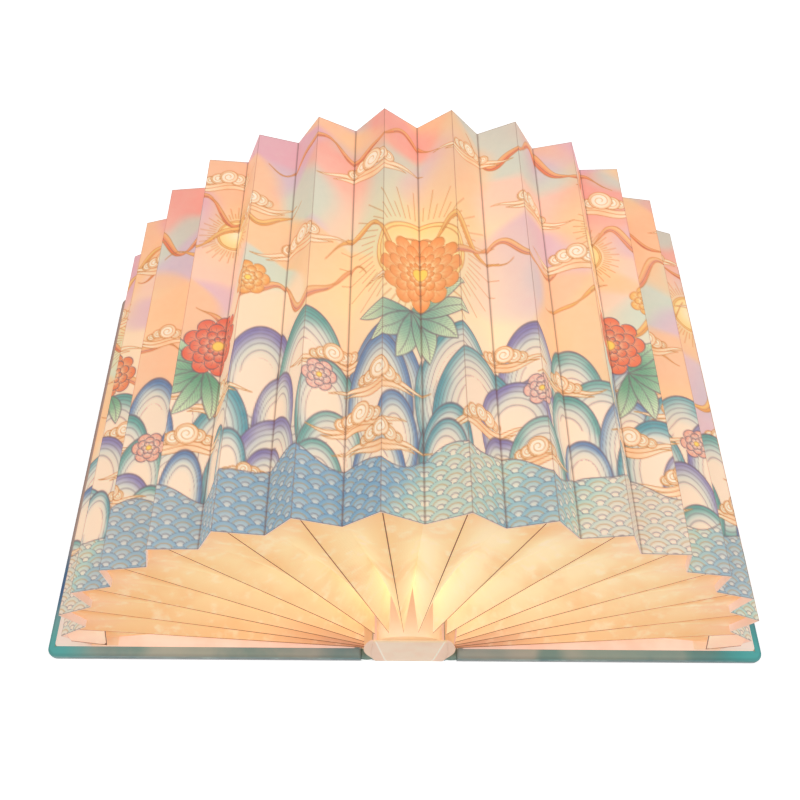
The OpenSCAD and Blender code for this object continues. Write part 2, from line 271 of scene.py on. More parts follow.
def joined(name: str, patches: list[Patch], soft: bool = False) -> bpy.types.Object:
    """One mesh from several patches, with points at the same place welded and the values stored.

    Args:
        name: Name of the object.
        patches: Patches with the same value names.
        soft: Whether the faces are shaded smooth.

    Returns:
        The object.
    """
    points = np.concatenate([p.points.reshape(-1, 3) for p in patches])
    starts = np.cumsum([0] + [p.points.shape[0] * p.points.shape[1] for p in patches[:-1]])
    quads = np.concatenate([p.faces() + s for p, s in zip(patches, starts)])
    finish = np.concatenate([np.full(len(p.faces()), p.finish) for p in patches])
    steps = np.round(points / WELD).astype(np.int64)
    _, first, where = np.unique(steps, axis=0, return_index=True, return_inverse=True)
    quads = where.ravel()[quads]
    same = quads == np.roll(quads, -1, axis=1)
    whole = ~same.any(1)
    thin = same.sum(1) == 1
    corners = quads[thin][~same[thin]].reshape(-1, 3)
    piece = new_object(name, points[first], quads[whole].tolist() + corners.tolist(), soft)
    order = np.concatenate([finish[whole], finish[thin]])
    piece.data.polygons.foreach_set("material_index", order.astype(np.int32))
    values = {
        key: np.concatenate([p.values[key].reshape(-1, *p.values[key].shape[2:]) for p in patches])[first]
        for key in patches[0].values
    }
    put_values(piece, values)
    return piece


# The printed picture


@dataclass
class Canvas:
    """The print's screen colours on some points of the unrolled paper, in one row.

    Half the width of a drawn line is line, and a shape's edge fades over crisp to either side where it has
    a drawn line and over blur where it has none, all in millimetres.
    """

    u: np.ndarray
    v: np.ndarray
    color: np.ndarray = field(init=False)
    line: float = 0.42
    crisp: float = 0.3
    blur: float = 3.0

    def __post_init__(self) -> None:
        """Starts with blank paper."""
        self.color = np.ones((len(self.u), 3))

    def polar(self, u: float, v: float) -> tuple[np.ndarray, np.ndarray]:
        """Distance and angle of each point from the point (u, v)."""
        return np.hypot(self.u - u, self.v - v), np.arctan2(self.v - v, self.u - u)

    def stroke(
        self, pen: Pen, distance: np.ndarray, share: float = 0.8, within: np.ndarray | bool = True
    ) -> None:
        """Draws a line whose share falls evenly to nought at the line's half width.

        Args:
            pen: The line's ink.
            distance: Distance from the middle of the line, in millimetres.
            share: How much the line covers at its middle.
            within: Where the line is drawn.
        """
        cover = share * within * np.clip(1 - np.abs(distance) / self.line, 0, 1)
        self.color = mixed(self.color, tone(pen.value), cover)

    def fill(self, edge: np.ndarray, color: np.ndarray, pen: Pen | None, share: float = 1.0) -> None:
        """Lays a shape over what is drawn.

        Args:
            edge: Signed distance to the shape's outline, below nought inside.
            color: The shape's colour, for all points or for each.
            pen: The ink of its outline, or None for a soft edge.
            share: How much the shape covers what lies under it.
        """
        fade = self.crisp if pen else self.blur
        inside = smooth(fade, -fade, edge)
        self.color = mixed(self.color, np.broadcast_to(color, self.color.shape), inside * share)
        if pen:
            self.stroke(pen, edge)

    def wash(self, seed: int, scale: float) -> np.ndarray:
        """Soft blotches from 0 to 1: a sum of sine waves in random directions, bent by a second sum.

        Args:
            seed: Start of the random numbers.
            scale: Rough size of a blotch in millimetres.

        Returns:
            One value per point.
        """
        dice = np.random.default_rng(seed)
        angle, phase = dice.uniform(0, 2 * np.pi, (2, 9))
        pace = dice.uniform(0.6, 1.9, 9) / scale
        bend = np.sin(self.v / scale * 1.3 + phase[0]) * 0.5 * scale
        along = np.outer(self.u + bend, np.cos(angle) * pace) + np.outer(self.v + bend, np.sin(angle) * pace)
        return 0.5 + 0.5 * np.tanh(np.sin(along + phase).sum(1) / 2.2)


@dataclass(frozen=True)
class Motif:
    """Something drawn round a place (u, v) on the paper, no further off in u than its reach."""

    u: float = 0.0
    v: float = 0.0

    def reach(self) -> float:
        """Half the width that the motif may cover, in millimetres."""
        return math.inf

    def draw(self, canvas: Canvas) -> None:
        """Draws the motif on a canvas."""


@dataclass(frozen=True)
class Sky(Motif):
    """Pastel ground: peach and pink at the back, cream in the middle, grey blue at the front."""

    def draw(self, canvas: Canvas) -> None:
        """Colour by the height v, shifted by slow blotches, with tints laid over it.

        Args:
            canvas: Where to draw.
        """
        height = canvas.v + 30 * (canvas.wash(3, 30) - 0.5)
        color = mixed(tone("d6d8ce"), tone("f5ddcc"), smooth(-84, -50, height))
        color = mixed(color, tone("fbdfc0"), smooth(-48, 0, height))
        color = mixed(color, tone("f7ccb9"), smooth(6, 44, height))
        color = mixed(color, tone("ee9f94"), smooth(46, 98, height))
        tints = ((5, "b8dcd2", 0.55, 0.65), (8, "d3aed0", 0.45, 0.6), (11, "fdc48e", 0.45, 0.75))
        for seed, code, low, share in tints:
            color = mixed(color, tone(code), share * smooth(low, low + 0.35, canvas.wash(seed, 15)))
        glow = np.exp(-((canvas.u / 44) ** 2 + ((canvas.v + 14) / 36) ** 2))
        canvas.color = mixed(color, tone("ffeec8"), 0.8 * glow)


@dataclass(frozen=True)
class Disc(Motif):
    """A pale disc with rings, and fine rays round it."""

    radius: float = 20.0
    rays: int = 56

    def draw(self, canvas: Canvas) -> None:
        """A round edge at the radius, rings inside it, and rays out to twice the radius.

        Args:
            canvas: Where to draw.
        """
        r, a = canvas.polar(self.u, self.v)
        canvas.color = mixed(canvas.color, tone("ffe3a0"), 0.7 * np.exp(-((r / (1.7 * self.radius)) ** 2)))
        ray = a * self.rays / (2 * np.pi)
        turn = np.abs(ray % 1 - 0.5) * 2 * np.pi * r / self.rays
        far = self.radius * np.where(np.floor(ray) % 2 == 0, 1.9, 1.5)
        canvas.stroke(Pen.GILT, turn, 0.6, (r > 1.12 * self.radius) & (r < far))
        canvas.fill(r - self.radius, mixed(tone("fff6d6"), tone("ffd587"), r / self.radius), Pen.GILT)
        canvas.stroke(Pen.GILT, r - 0.91 * self.radius)


@dataclass(frozen=True)
class Dome(Motif):
    """A round hill with its top at v, contour lines, a deep colour along its top and mist at its foot."""

    radius: float = 20.0
    squeeze: float = 0.7
    deep: str = "5078a8"
    seed: int = 0

    def reach(self) -> float:
        """The hill's half width."""
        return self.radius * self.squeeze + 2

    def draw(self, canvas: Canvas) -> None:
        """Inside is where the squeezed distance from the hill's middle is under its radius.

        Args:
            canvas: Where to draw.
        """
        r = np.hypot((canvas.u - self.u) / self.squeeze, canvas.v - (self.v - self.radius))
        inward = self.radius - r
        place = inward / self.radius + 0.14 * (canvas.wash(self.seed, 7) - 0.5)
        color = mixed(tone(self.deep), tone("d3d8d0"), smooth(-0.04, 0.3, place))
        color = mixed(color, tone("fbe3cb"), smooth(0.2, 0.56, place))
        canvas.fill(-inward * self.squeeze, color, Pen.INK)
        gap = 1.5 + 2.2 * np.clip(place, 0, 1)
        band = np.abs((inward / gap + 0.5) % 1 - 0.5) * gap
        canvas.stroke(Pen.INK, band, 0.42, (inward > 0.9) & (place < 0.5))


@dataclass(frozen=True)
class Scallops(Motif):
    """Rows of overlapping scale-shaped waves, a traditional pattern, below the height v."""

    v: float = -76.0
    radius: float = 5.6

    def draw(self, canvas: Canvas) -> None:
        """Of the circles that hold a point, the one in the lowest row shows, with rings in it.

        Args:
            canvas: Where to draw.
        """
        rise = self.radius / 2
        wave = self.v + 4 * np.sin(canvas.u / 13) + 2 * np.sin(canvas.u / 5.1)
        lowest = np.ceil((canvas.v - self.radius - self.v) / rise)
        r = np.full(len(canvas.u), np.inf)
        for k in range(5):
            row = lowest + k
            across = (canvas.u + np.where(row % 2 == 0, 0, self.radius)) / (2 * self.radius)
            du = (across - np.round(across)) * 2 * self.radius
            away = np.hypot(du, canvas.v - self.v - row * rise)
            r = np.where((r > self.radius) & (away <= self.radius), away, r)
        inward = self.radius - np.minimum(r, self.radius)
        place = inward / self.radius
        color = mixed(tone("9ccac4"), tone("fbead2"), place)
        near = np.exp(-((canvas.u / 110) ** 2))
        blotch = canvas.wash(25, 24)
        deep = mixed(tone("7890c0"), tone("4585c4"), near)
        color = mixed(color, deep, (0.5 + 0.18 * near) * smooth(0.3, 0.75, blotch) * (1 - 0.6 * place))
        color = mixed(color, tone("f3d3c4"), 0.5 * smooth(0.45, 0.1, blotch))
        canvas.fill(canvas.v - wave, color, Pen.INK)
        for share, pen in ((0, Pen.INK), (0.34, Pen.GILT), (0.68, Pen.INK)):
            canvas.stroke(pen, inward - share * self.radius, 0.55, canvas.v < wave)


@dataclass(frozen=True)
class Ribbon(Motif):
    """A long silk band that winds along u, wide where it faces the viewer."""

    half_length: float = 60.0
    swing: float = 9.0
    length: float = 50.0
    width: float = 2.0
    color: str = "e2663c"
    phase: float = 0.0

    def reach(self) -> float:
        """Half the band's length."""
        return self.half_length + 1

    def draw(self, canvas: Canvas) -> None:
        """The middle line is v + swing * sin(2 pi x / length + phase), and the width follows a cosine.

        Args:
            canvas: Where to draw.
        """
        x = canvas.u - self.u
        turn = 2 * np.pi * x / self.length + self.phase
        slope = self.swing * 2 * np.pi / self.length * (np.cos(turn) + 0.58 * np.cos(2.3 * turn))
        rise = self.swing * (np.sin(turn) + 0.25 * np.sin(2.3 * turn))
        away = (canvas.v - self.v - rise) / np.hypot(1, slope)
        half = self.width * (0.2 + 0.8 * np.abs(np.cos(turn * 0.8 + 0.6)))
        half = half * smooth(self.half_length, 0.6 * self.half_length, np.abs(x))
        color = mixed(tone(self.color), tone("ffdb96"), 0.7 * smooth(-1, 1, away / np.maximum(half, 0.1)))
        ends = np.abs(x) - self.half_length
        canvas.fill(np.maximum(np.abs(away) - half, ends), color, Pen.GILT)
        canvas.stroke(Pen.INK, away + 0.3 * half, 0.4, (half > 0.9) & (ends < 0))


@dataclass(frozen=True)
class Cloud(Motif):
    """A bank of round curls with a spiral in each, and a thin tail to both sides."""

    size: float = 6.0
    seed: int = 0
    pale: str = "fff3df"
    deep: str = "fbc99c"

    def reach(self) -> float:
        """Half the length of the bank with its tails."""
        return 4.6 * self.size

    def draw(self, canvas: Canvas) -> None:
        """Each curl is a disc with an Archimedean spiral, whose radius grows evenly with its angle.

        Args:
            canvas: Where to draw.
        """
        for drop, stretch in ((0.55, 4.5), (0.95, 3.2)):
            x = (canvas.u - self.u) / self.size
            bend = 0.25 * self.size * np.sin(1.3 * x + self.seed)
            away = np.abs(canvas.v - self.v + drop * self.size - bend)
            share = np.clip(np.abs(x) / stretch, 0, 1)
            half = 0.26 * self.size * (1 - share**2)
            edge = np.maximum(away - half, np.abs(x * self.size) - stretch * self.size)
            canvas.fill(edge, mixed(tone(self.deep), tone(self.pale), share), Pen.GILT)
        dice = np.random.default_rng(self.seed)
        for k in (-2.0, 2.0, -1.2, 1.1, 0.0):
            radius = self.size * dice.uniform(0.6, 0.85) * (1.15 - 0.22 * abs(k))
            rise = dice.uniform(-0.1, 0.15) + 0.55 * (1 - abs(k) / 2)
            r, a = canvas.polar(self.u + k * self.size * 0.8, self.v + rise * self.size)
            color = mixed(tone(self.pale), tone(self.deep), smooth(0.5, 1.1, r / radius))
            canvas.fill(r - radius, color, Pen.GILT)
            pitch = radius / 2.4
            curl = np.abs((r / pitch - np.sign(k + 0.1) * a / (2 * np.pi)) % 1 - 0.5) * pitch
            canvas.stroke(Pen.GILT, curl, 0.65, (r < 0.9 * radius) & (r > 0.12 * radius))


@dataclass(frozen=True)
class Spray(Motif):
    """Pointed leaves that fan out from a stem's end."""

    length: float = 20.0
    count: int = 5
    turn: float = 0.0
    spread: float = 2.4
    color: str = "4f9a78"

    def reach(self) -> float:
        """Length of a leaf."""
        return self.length + 1

    def draw(self, canvas: Canvas) -> None:
        """A leaf's half width falls as 1 less the square of the place along it.

        Args:
            canvas: Where to draw.
        """
        for k in range(self.count):
            angle = self.turn + self.spread * (k / max(1, self.count - 1) - 0.5)
            along = (canvas.u - self.u) * math.cos(angle) + (canvas.v - self.v) * math.sin(angle)
            aside = (canvas.v - self.v) * math.cos(angle) - (canvas.u - self.u) * math.sin(angle)
            place = 2 * along / self.length - 1
            aside = aside - 0.08 * self.length * (1 - place**2)
            half = 0.17 * self.length * (1 - place**2)
            color = mixed(tone(self.color), tone("d6e8c0"), smooth(-0.8, 0.9, place))
            canvas.fill((np.abs(aside) - half) * 0.8, color, Pen.INK)
            canvas.stroke(Pen.INK, aside, 0.6, np.abs(place) < 0.85)
            vein = np.abs((along / 1.7 - np.abs(aside) / 1.2 + 0.5) % 1 - 0.5) * 1.4
            canvas.stroke(Pen.INK, vein, 0.3, (np.abs(aside) < half * 0.85) & (half > 0.8))


@dataclass(frozen=True)
class Blossom(Motif):
    """A flower of several rings of round petals."""

    radius: float = 12.0
    petals: int = 8
    rings: int = 3
    tip: str = "e25a3e"
    base: str = "ffc9a8"
    pen: Pen = Pen.INK

    def reach(self) -> float:
        """The flower's radius."""
        return self.radius + 1

    def draw(self, canvas: Canvas) -> None:
        """A ring's edge is its radius less a lobe, the root of a cosine of the petals' angle.

        Args:
            canvas: Where to draw.
        """
        r, a = canvas.polar(self.u, self.v)
        for k in range(self.rings):
            size = self.radius * (1 - k / (self.rings + 0.4))
            turn = self.petals * (a + k * np.pi / self.petals) / 2
            lobe = 0.26 * (1 - np.sqrt(np.abs(np.cos(turn))))
            place = r / size
            color = mixed(tone(self.base), tone(self.tip), smooth(0.35, 1.0, place))
            canvas.fill((place - 1 + lobe) * size * 0.85, color, self.pen)
            rib = np.abs(np.sin(3 * turn)) * 2 * r / self.petals / 3
            canvas.stroke(self.pen, rib, 0.35, (place > 0.66) & (place < 0.86))
            gap = np.abs(np.cos(turn)) * 2 * r / self.petals
            canvas.stroke(self.pen, gap, 0.6, (place > 0.3) & (place < 0.8))
        canvas.fill(r - 0.16 * self.radius, tone("ffd75e"), Pen.GILT)


@dataclass(frozen=True)
class Picture:
    """The whole print: a garden of round hills, waves, silk bands, scroll clouds and flowers."""

    half_width: float = 282.0

    def hills(self, dice: np.random.Generator) -> list[Motif]:
        """Four rows of hills, the lower before the higher, with clouds between the rows.

        Args:
            dice: Random numbers.

        Returns:
            The motifs.
        """
        found: list[Motif] = []
        for row, (top, size) in enumerate(((-16, 30), (-32, 26), (-48, 23), (-63, 19))):
            for k, u in enumerate(np.arange(-self.half_width, self.half_width, 33 - 3 * row)):
                deep = ("4a78b0", "3f93a4", "7a72b0", "4f9c98")[(k + 3 * row) % 4]
                shift, lift = dice.uniform(-8, 8), dice.uniform(-9, 9)
                squeeze = dice.uniform(0.42, 0.72)
                radius = size * dice.uniform(0.85, 1.15)
                found.append(Dome(u + shift, top + lift, radius, squeeze, deep, k + 50 * row))
            for k, u in enumerate(np.linspace(-262, 262, 8)):
                place = u + 22 * (row % 2) + dice.uniform(-12, 12)
                height = top - 10 + dice.uniform(-5, 5)
                found.append(Cloud(place, height, dice.uniform(3.8, 5.4), k + 9 * row))
        return found

    def motifs(self) -> list[Motif]:
        """The motifs from the back to the front, placed by fixed random numbers.

        Returns:
            Everything drawn in the print.
        """
        dice = np.random.default_rng(17)
        discs = ((0, 16, 21), (-214, 40, 11), (196, 46, 11), (-106, 52, 9), (100, 44, 9))
        found: list[Motif] = [Sky()] + [Disc(*disc) for disc in discs]
        for k, u in enumerate(np.linspace(-256, 256, 15)):
            color = ("e2663c", "f0a24a", "e88a6a")[k % 3]
            height = 42 + 44 * math.sin(2.3 * k)
            found.append(Ribbon(u, height, 46, 6 + 3 * (k % 2), 44, 1.5 + 0.5 * (k % 2), color, 1.7 * k))
        found += self.hills(dice)
        found.append(Scallops())
        for k, u in enumerate(np.linspace(-266, 266, 19)):
            height = (84, 58, 26, 70, 4)[k % 5] + dice.uniform(-6, 6)
            found.append(Cloud(u + dice.uniform(-6, 6), height, dice.uniform(4.2, 6.2), 40 + k))
        found += [
            Spray(-4, -10, 26, 7, -1.3, 3.4, "6aa596"),
            Blossom(0, 10, 19, 12, 4, "f2964e", "ffedbe", Pen.GILT),
            Spray(-112, -22, 24, 5, 3.6, 2.6),
            Blossom(-108, -10, 15, 9, 4, "e25a3e", "ffc9a8"),
            Blossom(-86, 14, 9, 7, 3, "f2a04c", "fff0c8", Pen.GILT),
            Spray(112, -20, 24, 5, -0.6, 2.6),
            Blossom(106, -6, 15, 9, 4, "e8683f", "ffd2a8"),
            Blossom(126, 18, 8, 7, 3, "f6b45e", "fff2cf", Pen.GILT),
            Spray(-196, -6, 18, 5, 3.9, 2.4),
            Blossom(-196, 4, 12, 8, 3, "e6733f", "ffdcb0"),
            Spray(206, -14, 18, 5, -0.9, 2.4),
            Blossom(206, -6, 12, 9, 3, "e06038", "ffcfa4"),
            Blossom(-46, -40, 7, 6, 3, "f7b7a6", "fff1e0"),
            Blossom(52, -46, 7, 6, 3, "f7b7a6", "fff1e0"),
            Blossom(-148, -48, 7, 6, 3, "f4a890", "fff1e0"),
            Blossom(156, -42, 7, 6, 3, "f4a890", "fff1e0"),
            Blossom(-252, -20, 10, 8, 3, "e6733f", "ffdcb0"),
            Blossom(250, 20, 10, 8, 3, "ec8450", "ffe2bc"),
        ]
        return found

    def print_at(self, u: np.ndarray, v: np.ndarray) -> np.ndarray:
        """The print's colours at points of the paper.

        Args:
            u: Distance across the folds from the middle, in millimetres.
            v: Distance along the spine from the middle, in millimetres.

        Returns:
            Light values, three for each point.
        """
        canvas = Canvas(u.ravel(), v.ravel())
        low, high = float(u.min()), float(u.max())
        for motif in self.motifs():
            if low - motif.reach() < motif.u < high + motif.reach():
                motif.draw(canvas)
        return linear(canvas.color).reshape(*u.shape, 3)


# Finishes


class Recipe:
    """A material's nodes, added one at a time and linked to its shader."""

    def __init__(self, name: str, roughness: float, metallic: float = 0.0) -> None:
        """Starts a material with one Principled shader.

        Args:
            name: Name of the material.
            roughness: The shader's roughness.
            metallic: The shader's metallic share.
        """
        self.material = bpy.data.materials.new(name)
        self.material.use_nodes = True
        self.tree = self.material.node_tree
        self.shader = self.tree.nodes["Principled BSDF"]
        self.shader.inputs["Roughness"].default_value = roughness
        self.shader.inputs["Metallic"].default_value = metallic
        self.place = self.add("ShaderNodeTexCoord").outputs["Object"]

    def add(self, kind: str, inputs: dict | None = None, **settings: object) -> bpy.types.Node:
        """A new node.

        Args:
            kind: The node's type name.
            inputs: Values or sockets for its inputs, by name or number.
            **settings: The node's own properties.

        Returns:
            The node.
        """
        node = self.tree.nodes.new(kind)
        for key, value in settings.items():
            setattr(node, key, value)
        for key, value in (inputs or {}).items():
            if isinstance(value, bpy.types.NodeSocket):
                self.tree.links.new(value, node.inputs[key])
            else:
                node.inputs[key].default_value = value
        return node

    def value(self, name: str) -> bpy.types.NodeSocket:
        """The number stored under a name at the vertices."""
        return self.add("ShaderNodeAttribute", attribute_name=name).outputs["Fac"]

    def color(self, name: str) -> bpy.types.NodeSocket:
        """The colour stored under a name at the vertices."""
        return self.add("ShaderNodeAttribute", attribute_name=name).outputs["Color"]

    def noise(self, scale: float, detail: float, stretch: tuple = (1, 1, 1)) -> bpy.types.NodeSocket:
        """Cloudy noise in object space.

        Args:
            scale: How many blotches lie along a metre, roughly.
            detail: Number of finer layers.
            stretch: Factors that the place is multiplied by along the axes.

        Returns:
            The noise, from 0 to 1.
        """
        place = self.add("ShaderNodeMapping", {"Vector": self.place, "Scale": stretch}).outputs[0]
        inputs = {"Vector": place, "Scale": scale, "Detail": detail}
        return self.add("ShaderNodeTexNoise", inputs).outputs["Fac"]

    def span(
        self, value: object, low: float, high: float, to_low: float = 0.0, to_high: float = 1.0
    ) -> bpy.types.NodeSocket:
        """Value moved smoothly from the range low to high into the range to_low to to_high."""
        numbers = {"Value": value, "From Min": low, "From Max": high, "To Min": to_low, "To Max": to_high}
        return self.add("ShaderNodeMapRange", numbers, interpolation_type="SMOOTHSTEP").outputs["Result"]

    def blend(self, share: object, a: object, b: object, way: str = "MIX") -> bpy.types.NodeSocket:
        """Colours a and b mixed by share, in one of the Mix node's ways."""
        node = self.add("ShaderNodeMix", {0: share, 6: a, 7: b}, data_type="RGBA", blend_type=way)
        return node.outputs[2]

    def tint(self, color: object, share: object, code: str) -> bpy.types.NodeSocket:
        """A colour with a share of a screen colour laid over it."""
        return self.blend(share, color, paint_of(code))

    def scale(self, value: object, factor: object) -> bpy.types.NodeSocket:
        """Value times factor."""
        return self.add("ShaderNodeMath", {0: value, 1: factor}, operation="MULTIPLY").outputs[0]

    def link(self, socket: bpy.types.NodeSocket, name: str) -> None:
        """Feeds one of the shader's inputs."""
        self.tree.links.new(socket, self.shader.inputs[name])

    def dye(self, color: bpy.types.NodeSocket, glow: float, warm: str = "") -> None:
        """Feeds a colour to the shader's base, and to its glow where there is one: a painted glow for the
        light bar's light on papers, sheets and tray, and the lamp's own light on the diodes and diffuser.

        Args:
            color: The colour.
            glow: Strength of the glow.
            warm: Screen colour that the glow is multiplied by, or nothing.
        """
        self.link(color, "Base Color")
        if glow:
            lit = self.blend(1.0, color, paint_of(warm), "MULTIPLY") if warm else color
            self.link(lit, "Emission Color")
            self.shader.inputs["Emission Strength"].default_value = glow

    def relief(self, height: bpy.types.NodeSocket, depth: float, strength: float = 1.0) -> None:
        """Bumps of a depth in metres from a height between 0 and 1."""
        inputs = {"Height": height, "Distance": depth, "Strength": strength}
        self.link(self.add("ShaderNodeBump", inputs).outputs["Normal"], "Normal")


@dataclass(frozen=True)
class PrintedPaper:
    """Printed and folded paper, with a painted glow for the light bar's light coming through it from behind.
    """

    glow: float = 0.34

    def material(self) -> bpy.types.Material:
        """The stored print, with fine brown lines of painted shade on its crest folds and of painted shadow
        in its valleys.

        Returns:
            The material.
        """
        recipe = Recipe("printed_paper", 0.62)
        color = recipe.tint(recipe.color("paint"), recipe.scale(recipe.noise(260, 6), 0.16), "fff0dc")
        # Painted shade: a thin brown line on each crest fold.
        color = recipe.tint(color, recipe.span(recipe.value("fold"), 0.05, 0.45, 0.5, 0.0), "8a6456")
        # Painted shadow: a wider dark brown line in each valley.
        color = recipe.tint(color, recipe.span(recipe.value("rim"), 0.0, 0.9, 0.6, 0.0), "6d463e")
        # Painted glow: the light bar's light through the print, warmed.
        recipe.dye(color, self.glow, "ffe4c8")
        recipe.relief(recipe.noise(900, 3), 0.00006, 0.6)
        return recipe.material


@dataclass(frozen=True)
class EndPaper:
    """Unprinted end panels with a painted glow in the colours stored on them, which hold painted light and
    shade.
    """

    glow: float = 0.35

    def material(self) -> bpy.types.Material:
        """The stored colour with a faint watercolour mottle, and brown lines of painted shade on the crest
        folds.

        Returns:
            The material.
        """
        recipe = Recipe("end_paper", 0.66)
        blotch = recipe.span(recipe.noise(44, 6), 0.45, 0.75, 0.0, 0.42)
        color = recipe.tint(recipe.color("paint"), blotch, "efb274")
        color = recipe.tint(color, recipe.span(recipe.noise(170, 6), 0.5, 0.74, 0.0, 0.34), "fff4dc")
        # Painted shade: dark lines on the crest folds; on the corner tab, a dark line at its inner end and
        # painted shadow under its lifted lower edge.
        color = recipe.tint(color, recipe.span(recipe.value("fold"), 0.1, 0.45, 0.95, 0.0), "6a3c1e")
        # Painted glow: the light bar's light through the panels.
        recipe.dye(color, self.glow, "fff6e0")
        recipe.relief(recipe.noise(420, 5), 0.00009, 0.7)
        return recipe.material


@dataclass(frozen=True)
class PlainPaper:
    """Unprinted paper or card, faintly mottled, with a painted glow where light comes through."""

    name: str
    pale: str
    deep: str
    glow: float = 0.0
    roughness: float = 0.7

    def material(self) -> bpy.types.Material:
        """Two close colours mixed by fine and coarse noise, with fibres as bumps.

        Returns:
            The material.
        """
        recipe = Recipe(self.name, self.roughness)
        mottle = recipe.span(recipe.noise(60, 6), 0.35, 0.7)
        recipe.dye(recipe.tint(paint_of(self.pale), mottle, self.deep), self.glow)
        recipe.relief(recipe.noise(700, 4, (1, 0.35, 1)), 0.00008, 0.8)
        return recipe.material


@dataclass(frozen=True)
class CaseWrap:
    """Laminated wrap in watercolour greys and teals, brighter at the corners, with wear and a painted
    highlight at its upper edges and painted shade at its lower edges.
    """

    def material(self) -> bpy.types.Material:
        """Washes by noise, with the stored shares' colours laid over them, painted shade at the lower edge
        among them, and pale wear with a painted highlight at the upper edges.

        Returns:
            The material.
        """
        recipe = Recipe("case_wrap", 0.34)
        color = recipe.tint(paint_of("7ba4a8"), recipe.span(recipe.noise(26, 5), 0.35, 0.65), "bcc6bf")
        color = recipe.tint(color, recipe.span(recipe.noise(13, 3), 0.42, 0.66, 0, 0.7), "5f9ea2")
        color = recipe.tint(color, recipe.span(recipe.noise(19, 2), 0.52, 0.6, 0, 0.6), "2f8f96")
        # The low share is painted shade on the rounded lower edge, near black at its foot.
        for name, code in (("side", "c9a596"), ("fore", "2c5f9c"), ("corner", "3fb8b4"), ("low", "1a2632")):
            color = recipe.tint(color, recipe.value(name), code)
        # Pale blotches on the upper edge: partly wear, partly a painted highlight.
        wear_and_highlight = recipe.scale(recipe.value("edge"), recipe.span(recipe.noise(120, 5), 0.5, 0.7, 0, 0.4))
        recipe.dye(recipe.tint(color, wear_and_highlight, "bfe0dc"), 0)
        recipe.shader.inputs["Coat Weight"].default_value = 0.25
        recipe.relief(recipe.noise(1500, 2), 0.00002, 0.5)
        return recipe.material


@dataclass(frozen=True)
class Solid:
    """A moulded, metal or coated finish of one colour with fine variation."""

    name: str
    color: str
    shade: str
    roughness: float
    metallic: float = 0.0
    grain: float = 300.0
    stretch: tuple = (1, 1, 1)
    glow: float = 0.0
    clear: float = 0.0

    def material(self) -> bpy.types.Material:
        """Two close colours and a roughness that varies, both by stretched noise.

        Returns:
            The material.
        """
        recipe = Recipe(self.name, self.roughness, self.metallic)
        grain = recipe.noise(self.grain, 4, self.stretch)
        recipe.dye(recipe.tint(paint_of(self.color), recipe.span(grain, 0.3, 0.7), self.shade), self.glow)
        recipe.link(recipe.span(grain, 0.2, 0.8, self.roughness * 0.85, self.roughness * 1.15), "Roughness")
        recipe.relief(grain, 0.00003, 0.5)
        recipe.shader.inputs["Transmission Weight"].default_value = self.clear
        return recipe.material


# Sub-assemblies


